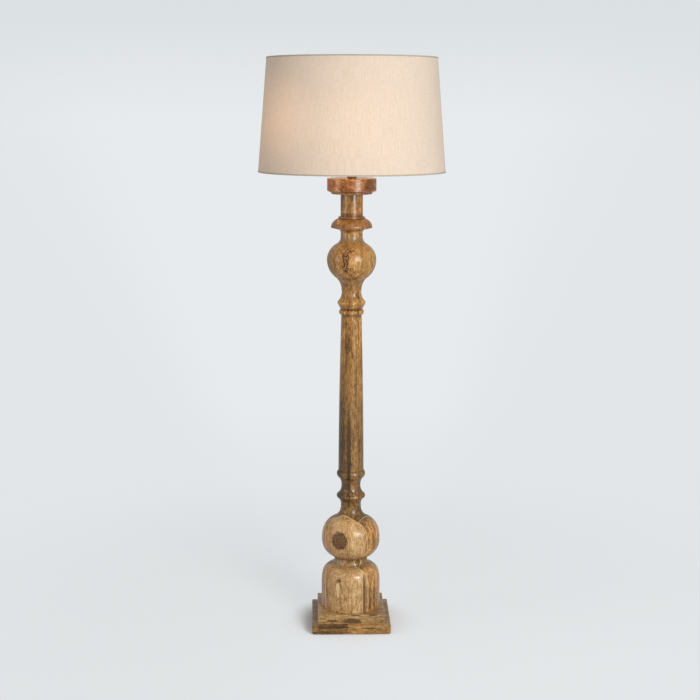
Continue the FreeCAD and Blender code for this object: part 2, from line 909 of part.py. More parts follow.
turned(
    "drip_pan",
    pan_low,
    start,
    steps
    + [
        (pan_lip_r - pan_edge_r, ZERO),
        (pan_lip_r, pan_edge_r, pan_edge_r, LEFT),
        (pan_lip_r, pan_lip_height - pan_edge_r),
        (pan_slope_r, ZERO),
        (pan_r, pan_slope_height),
        (pan_r, pan_height - pan_edge_r),
        (pan_r - pan_edge_r, pan_edge_r, pan_edge_r, LEFT),
        (bore_r, ZERO),
    ],
)

# ---------------------------------------------------------------- lampholder
thread_r = rod_r + thread_gap
turned(
    "neck_spacer",
    pan_top,
    (rod_r + slip_gap, ZERO),
    [(spacer_r, ZERO), (spacer_r, spacer_length), (rod_r + slip_gap, ZERO)],
)
cap_inner_r = holder_cap_r - holder_wall
cap_reach = holder_cap_r - spacer_r
dome_reach = cap_inner_r - hub_r - holder_wall
turned(
    "holder_cap",
    holder_low,
    (thread_r, ZERO),
    [
        (spacer_r, ZERO),
        (
            holder_cap_r,
            holder_cap_dome,
            bulge_r(cap_reach, holder_cap_dome, holder_cap_bulge),
            LEFT,
        ),
        (holder_cap_r, holder_cap_height - holder_cap_dome),
        (cap_inner_r, ZERO),
        (cap_inner_r, holder_cap_dome - holder_cap_height),
        (
            hub_r + holder_wall,
            holder_cap_lip - holder_cap_dome,
            bulge_r(dome_reach, holder_cap_dome - holder_wall, holder_cap_bulge),
            RIGHT,
        ),
        (hub_r, ZERO),
        (hub_r, hub_height - holder_cap_lip),
        (thread_r, ZERO),
    ],
)
skirt_low = holder_low + holder_cap_height - skirt_lap
skirt_inner_r = skirt_r - skirt_wall
skirt = turned(
    "holder_skirt",
    skirt_low,
    (skirt_inner_r, ZERO),
    [
        (skirt_r, ZERO),
        (skirt_r, skirt_length),
        (skirt_inner_r - skirt_lip, ZERO),
        (skirt_inner_r - skirt_lip, -skirt_wall),
        (skirt_inner_r, ZERO),
    ],
)
switch_height = holder_low + switch_bar_rise
switch_window_r = switch_bar_r + slip_gap
skirt_window = new_sketch(skirt, "switch_window", "YZ_Plane")
circles(skirt_window, [(ZERO, switch_height - skirt_low)], switch_window_r)
skirt_cut = pocket(skirt, skirt_window)
skirt_cut.Midplane = True
core_r = skirt_inner_r - tenon_gap
core_top = skirt_low + skirt_length - skirt_wall
core_low = core_top - core_length
core = turned(
    "holder_core",
    core_low,
    (wire_hole_r, ZERO),
    [
        (core_r, ZERO),
        (core_r, core_length),
        (core_bore_r, ZERO),
        (core_bore_r, core_floor - core_length),
        (wire_hole_r, ZERO),
    ],
)
core_window = new_sketch(core, "bar_way", "YZ_Plane")
circles(core_window, [(ZERO, switch_height - core_low)], switch_window_r)
core_cut = pocket(core, core_window)
core_cut.Midplane = True
terminal_spots = [(ZERO, terminal_ring_r), (ZERO, -terminal_ring_r)]
terminal_holes = new_sketch(core, "terminal_holes", "XY_Plane")
circles(terminal_holes, terminal_spots, terminal_screw_r + thread_gap)
pocket(core, terminal_holes, terminal_length + slip_gap)

terminals = new_body("terminal_screws", core_low)
terminal_shanks = new_sketch(terminals, "terminal_shanks", "XY_Plane")
circles(terminal_shanks, terminal_spots, terminal_screw_r)
pad(terminals, terminal_shanks, terminal_length)
terminal_heads = new_sketch(terminals, "terminal_heads", "XY_Plane", -terminal_head_height)
circles(terminal_heads, terminal_spots, terminal_head_r)
pad(terminals, terminal_heads, terminal_head_height)

socket_floor = core_low + core_floor
shell_r = core_bore_r - thread_gap
turned(
    "screw_shell",
    socket_floor,
    (socket_floor_r, ZERO),
    [
        (shell_r, ZERO),
        (shell_r, socket_length),
        (shell_r - socket_wall, ZERO),
        (shell_r - socket_wall, socket_wall - socket_length),
        (socket_floor_r, ZERO),
    ],
)
# The strip is bent up twice, and its upper bends lie back by the mitre of its thickness.
contact_run = contact_reach / 2 - contact_thickness
contact_slope = root(contact_run * contact_run + contact_rise * contact_rise)
contact_mitre = contact_thickness * (contact_slope - contact_run) / contact_rise
contact = new_body("centre_contact", socket_floor)
contact_sketch = new_sketch(contact, "contact_outline", "XZ_Plane")
outline(
    contact_sketch,
    (-contact_reach, ZERO),
    [
        (-contact_reach / 2, ZERO),
        (-contact_thickness, contact_rise),
        (contact_reach / 2, ZERO),
        (contact_reach / 2, contact_thickness),
        (-contact_thickness - contact_mitre, ZERO),
        (-contact_reach / 2 - contact_mitre, -contact_rise),
        (-contact_reach, ZERO),
    ],
)
pad(contact, contact_sketch, contact_width, symmetric=True)

bar_length = 2 * skirt_r + switch_stroke + 2 * switch_stub
turned(
    "switch_bar",
    switch_height,
    (ZERO, -(skirt_r + switch_stroke + switch_stub)),
    [
        (switch_bar_r - tenon_chamfer, ZERO),
        (switch_bar_r, tenon_chamfer),
        (switch_bar_r, bar_length - 2 * tenon_chamfer),
        (switch_bar_r - tenon_chamfer, tenon_chamfer),
        (ZERO, ZERO),
    ],
    turn=Rotation(Vector(0, 1, 0), 90),
)

# The shade's fitting lies between two threaded rings on the lampholder's skirt. Its arms are
# welded under it, outside the rings.
ring_seat = holder_low + ring_seat_rise
ring_bore_r = skirt_r + thread_gap
fitting_bore_r = skirt_r + slip_gap
arm_start_r = ring_r + arm_gap
fitting_r = arm_start_r + arm_lap


def shade_ring(name, low, flange_up):
    """A threaded ring: a broad flange towards the shade's ring, and a narrower hub."""
    flange = [(ring_r, ZERO), (ring_r, ring_flange)]
    if flange_up:
        steps = [(ring_hub_r, ZERO), (ring_hub_r, ring_hub_height)] + flange + [(ring_bore_r, ZERO)]
    else:
        steps = flange + [(ring_hub_r, ZERO), (ring_hub_r, ring_hub_height), (ring_bore_r, ZERO)]
    return turned(name, low, (ring_bore_r, ZERO), steps)


fitting_low = ring_seat + seat_gap
upper_ring_low = fitting_low + fitting_thickness + seat_gap
shade_ring("lower_shade_ring", ring_seat - ring_flange - ring_hub_height, True)
shade_ring("upper_shade_ring", upper_ring_low, False)

# ---------------------------------------------------------------- bulb
bulb_low = socket_floor + contact_rise + contact_thickness + seat_gap
lamp_cap_low = bulb_low + tip_height + tip_cone_height
turned(
    "bulb_contact",
    bulb_low,
    (ZERO, ZERO),
    [
        (tip_r, ZERO),
        (tip_r, tip_height),
        (tip_cone_r, tip_cone_height),
        (ZERO, ZERO),
    ],
)
lamp_cap_inner_r = lamp_cap_r - lamp_cap_wall
turned(
    "bulb_cap",
    lamp_cap_low,
    (ZERO, ZERO),
    [
        (tip_cone_r, ZERO),
        (lamp_cap_r, lamp_cap_cone),
        (lamp_cap_r, lamp_cap_length - lamp_cap_cone),
        (lamp_cap_inner_r, ZERO),
        (lamp_cap_inner_r, lamp_cap_cone + lamp_cap_wall - lamp_cap_length),
        (ZERO, ZERO),
    ],
)
glass_low = lamp_cap_low + lamp_cap_length - glass_neck_height
globe_side_r = globe_r * cosine(globe_angle)
globe_inner_r = globe_r - globe_wall
globe_inner_side_r = globe_inner_r * cosine(globe_angle)
globe_mid = bulb_low + globe_rise - glass_low
side_rise = globe_mid - globe_r * sine(globe_angle)
inner_side_rise = globe_mid - globe_inner_r * sine(globe_angle)
glass_foot_r = lamp_cap_inner_r - thread_gap
glass_inner_foot_r = glass_foot_r - globe_wall
turned(
    "bulb_glass",
    glass_low,
    (glass_inner_foot_r, ZERO),
    [
        (glass_foot_r, ZERO),
        (glass_foot_r, glass_neck_height),
        (glass_neck_r, glass_neck_height),
        (globe_side_r, side_rise - glass_neck_height * 2, glass_flank_r, RIGHT),
        (ZERO, globe_mid + globe_r - side_rise, globe_r, LEFT),
        (ZERO, -globe_wall),
        (globe_inner_side_r, inner_side_rise - globe_mid - globe_inner_r, globe_inner_r, RIGHT),
        (
            glass_neck_r - globe_wall,
            glass_neck_height * 2 - inner_side_rise,
            glass_flank_r + globe_wall,
            LEFT,
        ),
        (glass_inner_foot_r, -glass_neck_height),
    ],
)
stem_foot = lamp_cap_low + lamp_cap_cone + lamp_cap_wall
stem_foot_r = lamp_cap_inner_r - thread_gap
stem_flare = glass_low - stem_foot
turned(
    "bulb_stem",
    stem_foot,
    (ZERO, ZERO),
    [
        (stem_foot_r, ZERO),
        (stem_foot_r, stem_flare / 2),
        (stem_r, stem_flare / 2),
        (stem_r, stem_height - stem_flare - stem_disc_thickness),
        (stem_disc_r, ZERO),
        (stem_disc_r, stem_disc_thickness),
        (ZERO, ZERO),
    ],
)
filaments = new_body("bulb_filaments", stem_foot + stem_height)
filament_sketch = new_sketch(filaments, "filament_outline", "XY_Plane")
circles(filament_sketch, ring_spots(filament_count, stem_disc_r - filament_r, 45.0), filament_r)
pad(filaments, filament_sketch, filament_length)

# ---------------------------------------------------------------- shade
shade_low = fitting_low - fitting_rise
shade_lean = (shade_bottom_r - shade_top_r) / shade_height


def cone_shell(name, outer_gap, thickness):
    """A thin tapered wall, open above and below, outer_gap inside the shade's outer face."""
    low_r = shade_bottom_r - outer_gap
    high_r = shade_top_r - outer_gap
    return turned(
        name,
        shade_low,
        (low_r - thickness, ZERO),
        [(low_r, ZERO), (high_r, shade_height), (high_r - thickness, ZERO)],
    )


cone_shell("shade_linen", ZERO, linen_thickness)
cone_shell("shade_liner", linen_thickness, liner_thickness)
wall = linen_thickness + liner_thickness
hem_reach = wall + 2 * wire_r + thread_gap
bottom_wire_r = shade_bottom_r - wall - thread_gap - wire_r - shade_lean * 2 * wire_r
top_wire_r = shade_top_r - wall - thread_gap - wire_r


def hem(name, low, edge_r, lean, bottom):
    """A folded band: a leg outside the linen, and a web across the edge and the wire."""
    leg_r = edge_r + lean * hem_height
    out_r = edge_r + hem_thickness
    if bottom:
        start = (edge_r - hem_reach, -hem_thickness)
        steps = [
            (out_r, ZERO),
            (leg_r + hem_thickness, hem_height + hem_thickness),
            (leg_r, ZERO),
            (edge_r, -hem_height),
            (edge_r - hem_reach, ZERO),
        ]
    else:
        start = (leg_r, -hem_height)
        steps = [
            (leg_r + hem_thickness, ZERO),
            (out_r, hem_height + hem_thickness),
            (edge_r - hem_reach, ZERO),
            (edge_r - hem_reach, -hem_thickness),
            (edge_r, ZERO),
        ]
    return turned(name, low, start, steps)


hem("bottom_hem", shade_low, shade_bottom_r, -shade_lean, True)
hem("top_hem", shade_low + shade_height, shade_top_r, shade_lean, False)


def wire_ring(name, low, ring_mid_r):
    """A ring of round wire, turned from a circle about the height low."""
    body = new_body(name, low)
    sketch = new_sketch(body, name + "_section")
    circles(sketch, [(ring_mid_r, ZERO)], wire_r)
    feature = body.newObject("PartDesign::Revolution", name + "_turned")
    feature.Profile = sketch
    feature.ReferenceAxis = (sketch, ["V_Axis"])
    feature.Angle = 360
    body.Tip = feature


wire_ring("shade_top_ring", shade_low + shade_height - wire_r, top_wire_r)
wire_ring("shade_bottom_ring", shade_low + wire_r, bottom_wire_r)

# The shade's fitting: a flat ring that the lampholder clamps, and three bent arms welded under it,
# which come in from the bottom wire.
turned(
    "shade_fitting",
    fitting_low,
    (fitting_bore_r, ZERO),
    [(fitting_r, ZERO), (fitting_r, fitting_thickness), (fitting_bore_r, ZERO)],
)
arms = new_body("shade_arms", shade_low)
arm_height = fitting_rise - arm_wire_r
arm_path = new_sketch(arms, "arm_path")
slope_run = bottom_wire_r - arm_flat_r
slope_drop = arm_height - wire_r
slope_angle = math.atan2(slope_drop.value, slope_run.value)
slope_length = root(slope_run * slope_run + slope_drop * slope_drop)
half_tangent = (slope_length - slope_run) / slope_drop
bend_back = arm_bend_r * half_tangent
bend_x = arm_flat_r + bend_back * slope_run / slope_length
bend_z = arm_height - bend_back * slope_drop / slope_length


def path_line(a, b):
    line = Part.LineSegment(
        Vector(a[0].value, a[1].value, 0), Vector(b[0].value, b[1].value, 0)
    )
    return arm_path.addGeometry(line, False)


arm_points = [
    (arm_start_r, arm_height),
    (arm_flat_r - bend_back, arm_height),
    (bend_x, bend_z),
    (
        bottom_wire_r - wire_r * slope_run / slope_length,
        wire_r + wire_r * slope_drop / slope_length,
    ),
]
flat_line = path_line(arm_points[0], arm_points[1])
bend_centre = (arm_flat_r - bend_back, arm_height - arm_bend_r)
bend_circle = Part.Circle(
    Vector(bend_centre[0].value, bend_centre[1].value, 0), Vector(0, 0, 1), arm_bend_r.value
)
bend = arm_path.addGeometry(
    Part.ArcOfCircle(bend_circle, math.pi / 2 - slope_angle, math.pi / 2), False
)
slope_line = path_line(arm_points[2], arm_points[3])
arm_path.addConstraint(Sketcher.Constraint("Coincident", flat_line, 2, bend, 2))
arm_path.addConstraint(Sketcher.Constraint("Coincident", bend, 1, slope_line, 1))
for point, (x, z) in zip(
    ((flat_line, 1), (flat_line, 2), (slope_line, 1), (slope_line, 2)), arm_points
):
    place_point(arm_path, point, x, z)
bend_index = arm_path.addConstraint(Sketcher.Constraint("Radius", bend, arm_bend_r.value))
arm_path.setExpression("Constraints[%d]" % bend_index, arm_bend_r.text)
arm_section = new_sketch(arms, "arm_section", "YZ_Plane", arm_start_r)
circles(arm_section, [(ZERO, arm_height)], arm_wire_r)
arm = arms.newObject("PartDesign::AdditivePipe", "arm")
arm.Profile = arm_section
arm.Spine = (arm_path, ["Edge1", "Edge2", "Edge3"])
arms.Tip = arm
around(arms, arm, arm_count)

# ---------------------------------------------------------------- checks and export
doc.recompute()
nodes = [part for part in doc.Objects if part.TypeId == "PartDesign::Body"]
for part in doc.Objects:
    for bad in ("Invalid", "Error"):
        if bad in part.State:
            raise RuntimeError("%s is %s" % (part.Name, part.State))
os.makedirs("parts", exist_ok=True)
for node in nodes:
    shape = node.Shape
    if shape.isNull() or not shape.isValid() or not shape.Solids:
        raise RuntimeError("%s has no valid solid" % node.Label)
    shape.exportStep("parts/%s.step" % node.Label)
    box = shape.BoundBox
    print(
        "%-18s %2d solid(s) %12.1f mm3  z %.2f to %.2f"
        % (node.Label, len(shape.Solids), shape.Volume, box.ZMin, box.ZMax)
    )
print("%d nodes" % len(nodes))
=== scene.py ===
"""Looks of a candlestick floor lamp: turned mango wood, a linen drum shade and a screw-in bulb.

Sizes in the outlines are millimetres, as in the part's own source. Everything in Blender is metres.
"""

import json
import math

import bpy
import numpy as np
from mathutils import Matrix, Vector


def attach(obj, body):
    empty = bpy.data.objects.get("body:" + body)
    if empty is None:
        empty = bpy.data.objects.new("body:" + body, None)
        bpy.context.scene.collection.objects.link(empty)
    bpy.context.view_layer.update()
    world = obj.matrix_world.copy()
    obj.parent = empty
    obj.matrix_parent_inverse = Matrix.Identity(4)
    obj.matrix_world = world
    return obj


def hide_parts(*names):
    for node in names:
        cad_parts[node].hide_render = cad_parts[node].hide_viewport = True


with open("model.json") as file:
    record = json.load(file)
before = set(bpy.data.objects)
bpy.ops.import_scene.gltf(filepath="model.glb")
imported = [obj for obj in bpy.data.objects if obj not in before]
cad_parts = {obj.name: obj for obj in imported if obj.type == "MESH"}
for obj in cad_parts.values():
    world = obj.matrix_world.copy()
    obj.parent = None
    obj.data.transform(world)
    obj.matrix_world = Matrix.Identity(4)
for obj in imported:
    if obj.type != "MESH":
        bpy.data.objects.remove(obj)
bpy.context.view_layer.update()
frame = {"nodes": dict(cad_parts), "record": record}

MM = 0.001
LEFT = 1
RIGHT = -1

# ---------------------------------------------------------------- sizes, as in the part's source
BORE_R = 5.6
TENON_R = 15.0
TENON_LENGTH = 15.0
TENON_CHAMFER = 1.0
SOCKET_R = 15.15
SOCKET_DEPTH = 16.0
EASE = 0.7  # how far a shoulder's arris is rubbed down

BELL_LOW = 51.0
BELL_R = 81.2
BELL_STRAIGHT = 70.9
BELL_NECK_R = 45.8
BALL_R = 80.5
BALL_NECK_R = 27.8
ORB_R = 66.4
SHARP_BEAD_R = 37.4
DEEP_HOLLOW_R = 26.5
ROUND_BEAD_R = 36.4
TAPER_LOW_R = 34.7
TAPER_TOP_R = 27.6
TAPER_LENGTH = 434.9
SMALL_BEAD_R = 29.0
RIDGE_R = 35.3
TOP_NECK_R = 27.0
ORB_NECK_R = 29.6
CUP_FOOT_R = 35.7
COLLAR_R = 54.8
CUP_LIP_R = 35.3
CANDLE_R = 29.9
CANDLE_LENGTH = 60.3
PAN_R = 65.9
PAN_HEIGHT = 33.1
PAN_ROUND = 2.0
LIP_R = 54.8
LIP_HEIGHT = 4.5
SPACER_LENGTH = 32.4
HOLDER_TO_RING = 44.2
RING_ABOVE_EDGE = 60.0
SHADE_LOW_R = 249.5
SHADE_TOP_R = 225.5
SHADE_HEIGHT = 299.0
LINEN = 0.8
LINER = 0.6
HEM = 0.5
HEM_HEIGHT = 3.0
WIRE_R = 2.2
WIRE_GAP = 0.08
SEAM_LAP = 12.0


# ---------------------------------------------------------------- outlines
def arc(x0, z0, x1, z1, radius, side):
    """Points on the arc of that radius between two ends, without its first point:
    centre + radius * (cos, sin).
    """
    dx, dz = x1 - x0, z1 - z0
    chord = math.hypot(dx, dz)
    away = math.sqrt(max(radius * radius - chord * chord / 4, 0.0))
    cx = (x0 + x1) / 2 - side * dz / chord * away
    cz = (z0 + z1) / 2 + side * dx / chord * away
    start = math.atan2(z0 - cz, x0 - cx)
    sweep = (math.atan2(z1 - cz, x1 - cx) - start) * side % math.tau * side
    count = max(5, int(abs(sweep) / math.radians(3)), int(abs(sweep) * radius / 12)) + 1
    angle = start + np.linspace(0, sweep, count)[1:]
    return np.stack([cx + radius * np.cos(angle), cz + radius * np.sin(angle)], 1)


def divided(points, longest=6 * MM):
    """The outline with further points on its long straight runs, at most that far apart."""
    length = np.concatenate([[0], np.cumsum(np.hypot(*np.diff(points, axis=0).T))])
    kept = np.unique(np.concatenate([length, np.arange(0, length[-1], longest)]))
    return np.stack([np.interp(kept, length, points[:, 0]), np.interp(kept, length, points[:, 1])], 1)


def relief_of(profile, width=9 * MM, unit=1.5 * MM):
    """How far each point stands out from its neighbourhood: r less the mean of r along the outline,
    weighted by exp(-(s / width)^2).
    """
    length = np.concatenate([[0], np.cumsum(np.hypot(*np.diff(profile, axis=0).T))])
    fine = np.arange(0, length[-1], 0.5 * MM)
    weight = np.exp(-(((length[:, None] - fine) / width) ** 2))
    return (profile[:, 0] - weight @ np.interp(fine, length, profile[:, 0]) / weight.sum(1)) / unit


def outline(low, start, steps):
    """Points (r, z) of a closed outline. A step is (r, rise) for a line, and (r, rise, radius, side)
    for an arc.
    """
    x, z = start
    runs = [np.array([[x, z]])]
    for step in steps:
        next_x, next_z = step[0], z + step[1]
        if len(step) == 2:
            runs.append(np.array([[next_x, next_z]]))
        else:
            runs.append(arc(x, z, next_x, next_z, step[2], step[3]))
        x, z = next_x, next_z
    return divided((np.concatenate(runs) + [0, low]) * MM)


def bulge_r(run, rise, bulge):
    """Radius of the arc over a chord (run, rise) that stands out by bulge at its middle."""
    return ((run * run + rise * rise) / 4 + bulge * bulge) / (2 * bulge)


def swell(top_r, crown_r, crown_angle, flank_angle, cove_r, neck_r, going_up):
    """Half a ball in three arcs that meet smoothly: crown, flank, and a cove that ends upright at
    the neck.
    """
    crown, flank = math.radians(crown_angle), math.radians(flank_angle)
    crown_drop = crown_r * (1 - math.cos(crown))
    crown_rise = crown_r * math.sin(crown)
    cove_drop = cove_r * (1 - math.cos(flank))
    cove_rise = cove_r * math.sin(flank)
    flank_r = (top_r - neck_r - crown_drop - cove_drop) / (math.cos(crown) - math.cos(flank))
    flank_rise = flank_r * (math.sin(flank) - math.sin(crown))
    crown_end = top_r - crown_drop
    cove_start = neck_r + cove_drop
    if going_up:
        return [
            (crown_end, crown_rise, crown_r, LEFT),
            (cove_start, flank_rise, flank_r, LEFT),
            (neck_r, cove_rise, cove_r, RIGHT),
        ]
    return [
        (cove_start, cove_rise, cove_r, RIGHT),
        (crown_end, flank_rise, flank_r, LEFT),
        (top_r, crown_rise, crown_r, LEFT),
    ]


def rise_of(steps):
    return sum(step[1] for step in steps)


def bead(at_r, height, bulge):
    """A half-round moulding that stands out from at_r."""
    return [(at_r, height, bulge_r(0, height, bulge), LEFT)]


def hollow(from_r, to_r, height, depth):
    """A cove between two radii."""
    return [(to_r, height, bulge_r(to_r - from_r, height, depth), RIGHT)]


def shoulder(radius):
    """The flat end of a turned piece, out to its arris, which is rubbed down."""
    return [(radius - EASE, 0), (radius, EASE, EASE, LEFT)]


def tenon():
    return [
        (TENON_R - TENON_CHAMFER, 0),
        (TENON_R, TENON_CHAMFER),
        (TENON_R, TENON_LENGTH - TENON_CHAMFER),
    ]


def socket():
    """The rubbed arris of the flat top, its socket, and the rod's bore."""
    return [(SOCKET_R, 0), (SOCKET_R, -SOCKET_DEPTH), (BORE_R, 0)]


def rubbed_neck(radius, steps):
    """The outer run of a piece between two necks, with the arrises at both its ends rubbed down."""
    first = steps[0]
    eased = [(first[0], first[1] - EASE) + tuple(first[2:])]
    return shoulder(radius) + topped(eased + steps[1:])


def topped(steps):
    """Ends an outline at a flat top whose arris is rubbed down: the last rise is shorter by EASE."""
    last = steps[-1]
    eased = (last[0], last[1] - EASE) + tuple(last[2:])
    return steps[:-1] + [eased, (last[0] - EASE, EASE, EASE, LEFT)]


# ---------------------------------------------------------------- meshes
def new_piece(name, points, faces, uv=None, smooth_below=32):
    """A mesh object at the origin from points and quads, with its doubled points merged."""
    mesh = bpy.data.meshes.new(name)
    mesh.from_pydata(points.tolist(), [], faces.tolist())
    if uv is not None:
        layer = mesh.uv_layers.new(name="cloth")
        layer.data.foreach_set("uv", uv.ravel())
    mesh.shade_smooth()
    mesh.set_sharp_from_angle(angle=math.radians(smooth_below))
    piece = bpy.data.objects.new(name, mesh)
    bpy.context.scene.collection.objects.link(piece)
    return piece


def turn(name, profile, around=192, angles=None, swollen=None):
    """A surface of revolution: (r cos t, r sin t, z) over the outline's points and the angles t.

    Its UV map holds metres: along the middle circle, and along the outline. swollen(t) is added to r
    of the outer run, the first half of the outline.
    """
    t = np.linspace(0, math.tau, around, endpoint=False) if angles is None else angles
    r, z = profile[:, :1], profile[:, 1:]
    reach = np.repeat(r, len(t), 1)
    if swollen is not None:
        outer = np.arange(len(profile)) < len(profile) // 2
        reach = reach + outer[:, None] * swollen(t)[None, :]
    points = np.stack([reach * np.cos(t), reach * np.sin(t), np.repeat(z, len(t), 1)], 2)
    rows, columns = len(profile), len(t)
    i, j = np.meshgrid(np.arange(rows), np.arange(columns), indexing="ij")
    up, on = (i + 1) % rows, (j + 1) % columns
    corners = [(i, j), (i, on), (up, on), (up, j)]
    faces = np.stack([a * columns + b for a, b in corners], 2).reshape(-1, 4)
    sides = np.diff(profile, axis=0, append=profile[:1])
    length = np.concatenate([[0], np.cumsum(np.hypot(*sides.T))])
    turned_on = np.append(t, t[0] + math.tau) * r.mean()
    u = np.stack([turned_on[j], turned_on[j + 1], turned_on[j + 1], turned_on[j]], 2)
    v = np.stack([length[i], length[i], length[i + 1], length[i + 1]], 2)
    piece = new_piece(name, points.reshape(-1, 3), faces, np.stack([u, v], 3).reshape(-1, 2))
    relief = piece.data.attributes.new("relief", "FLOAT", "POINT")
    relief.data.foreach_set("value", np.repeat(relief_of(profile), columns))
    return piece


def dress(piece, material, slot, body, *nodes):
    """Puts a new piece on its body in place of its CAD nodes."""
    piece.data.materials.append(material)
    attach(piece, body)
    if nodes:
        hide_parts(*nodes)
    return piece


# ---------------------------------------------------------------- node trees
def tone(red, green, blue):
    """A colour as it shows on a screen, 0 to 255, made linear."""
    parts = [c / 255 for c in (red, green, blue)]
    return tuple(c / 12.92 if c < 0.04045 else ((c + 0.055) / 1.055) ** 2.4 for c in parts) + (1.0,)


class Wire:
    """One socket's value. An expression on it adds the Math nodes that work it out."""

    def __init__(self, finish, socket):
        self.finish = finish
        self.socket = socket

    def math(self, operation, *values):
        return self.finish.node("Math", {"operation": operation}, values)

    def __add__(self, other):
        return self.math("ADD", self, other)

    def __radd__(self, other):
        return self.math("ADD", other, self)

    def __sub__(self, other):
        return self.math("SUBTRACT", self, other)

    def __rsub__(self, other):
        return self.math("SUBTRACT", other, self)

    def __mul__(self, other):
        return self.math("MULTIPLY", self, other)

    def __rmul__(self, other):
        return self.math("MULTIPLY", other, self)

    def __truediv__(self, other):
        return self.math("DIVIDE", self, other)

    def __rtruediv__(self, other):
        return self.math("DIVIDE", other, self)

    def __pow__(self, other):
        return self.math("POWER", self, other)

    def sine(self):
        return self.math("SINE", self)

    def root(self):
        return self.math("SQRT", self)

    def size(self):
        return self.math("ABSOLUTE", self)

    def most(self, other):
        return self.math("MAXIMUM", self, other)

    def rising(self, low, high):
        """0 below low, 1 above high, smooth between; low may be the greater."""
        ends = {"From Min": low, "From Max": high, "Value": self}
        return self.finish.node("MapRange", {"interpolation_type": "SMOOTHSTEP"}, ends)

    def other(self, name):
        """Another output of the same node."""
        return Wire(self.finish, self.socket.node.outputs[name])


class Finish:
    """A material or the world, and the one place where its nodes come from."""

    def __init__(self, name, kept_in=bpy.data.materials):
        self.material = kept_in.new(name)
        self.material.use_nodes = True
        self.tree = self.material.node_tree
        self.tree.nodes.clear()

    def node(self, kind, settings=None, sockets=None, output=0):
        """Adds a node: its settings first, then the values or links of its sockets."""
        made = self.tree.nodes.new("ShaderNode" + kind)
        for name, value in (settings or {}).items():
            setattr(made, name, value)
        named = sockets.items() if isinstance(sockets, dict) else enumerate(sockets or ())
        for key, value in named:
            if isinstance(value, Wire):
                self.tree.links.new(value.socket, made.inputs[key])
            else:
                made.inputs[key].default_value = value
        return Wire(self, made.outputs[output]) if made.outputs else None

    def place(self, shift=(0, 0, 0), lean=(0, 0, 0)):
        """Object coordinates, turned by lean and then shifted."""
        here = self.node("TexCoord", output="Object")
        return self.node("Mapping", None, {"Vector": here, "Location": shift, "Rotation": lean})

    def cloth(self):
        return self.node("UVMap", {"uv_map": "cloth"})

    def stretch(self, where, scale):
        return self.node("VectorMath", {"operation": "MULTIPLY"}, [where, scale])

    def moved(self, where, step):
        return self.node("VectorMath", {"operation": "ADD"}, [where, step])

    def along(self, where, direction):
        """How far a point lies along a direction."""
        return self.node("VectorMath", {"operation": "DOT_PRODUCT"}, [where, direction], "Value")

    def noise(self, where, scale, detail=2.0, roughness=0.5):
        at = self.stretch(where, scale)
        sockets = {"Vector": at, "Scale": 1.0, "Detail": detail, "Roughness": roughness}
        return self.node("TexNoise", None, sockets)

    def mix(self, factor, first, second, blend="MIX"):
        """Colours: second over first by factor."""
        settings = {"data_type": "RGBA", "blend_type": blend}
        return self.node("Mix", settings, {0: factor, 6: first, 7: second}, 2)

    def ramp(self, value, *stops):
        """Colours along a value. A stop is (position, colour)."""
        made = self.node("ValToRGB", None, [value])
        steps = made.socket.node.color_ramp.elements
        for step, (position, colour) in zip([steps[0], steps[1]], (stops[0], stops[-1])):
            step.position = position
            step.color = colour
        for position, colour in stops[1:-1]:
            steps.new(position).color = colour
        return made

    def scaled(self, colour, factor):
        """A colour made lighter or darker by a number."""
        grey = self.node("CombineColor", None, [factor, factor, factor])
        return self.mix(1.0, colour, grey, "MULTIPLY")

    def spot(self, where, centre, reach):
        """1 inside an ellipsoid, falling to 0 at its edge and staying there."""
        away = self.stretch(self.moved(where, tuple(-c for c in centre)), tuple(1 / r for r in reach))
        return 1 - self.node("VectorMath", {"operation": "LENGTH"}, [away], "Value")

    def bump(self, height, distance, strength=1.0):
        return self.node("Bump", None, {"Strength": strength, "Distance": distance, "Height": height})

    def finish(self, **sockets):
        """The surface's shader. A socket's name is written with _ for its blanks."""
        named = {key.replace("_", " "): value for key, value in sockets.items()}
        shader = self.node("BsdfPrincipled", None, named)
        self.node("OutputMaterial", None, {"Surface": shader})
        return self.material


# ---------------------------------------------------------------- wood
def grain(f, p, seed, rings):
    """Wood whose grain runs along z: growth rings about a far pith line that wanders, interlocked
    flecks, fine fibres, short open pores and dark mineral streaks. Each is 0 to 1.
    """
    q = f.moved(p, (seed * 0.37, seed * 0.61, seed * 0.23))
    wander = f.noise(q, (9, 9, 2.6), 2.0)
    drift = f.noise(q, (34, 34, 7), 3.0, 0.6)
    axes = f.node("SeparateXYZ", None, [p])
    across = axes + wander * 0.09 + 0.05 * math.cos(seed)
    deep = axes.other("Y") + drift * 0.026 + 0.09
    far = (across * across + deep * deep).root()
    ring = ((far * (rings * math.tau) + drift * 6).sine() * 0.5 + 0.5) ** 1.3
    fleck = f.noise(q, (190, 190, 60), 3.0, 0.75).rising(0.42, 0.60)
    fibre = f.noise(q, (400, 400, 150), 4.0, 0.8)
    pore = f.noise(q, (330, 330, 80), 2.0, 0.7).rising(0.57, 0.66)
    streak = f.noise(q, (70, 70, 5), 4.0, 0.66).rising(0.53, 0.64)
    patch = f.noise(q, (19, 19, 7), 3.0).rising(0.36, 0.64)
    return ring, fleck, fibre, pore, streak, patch


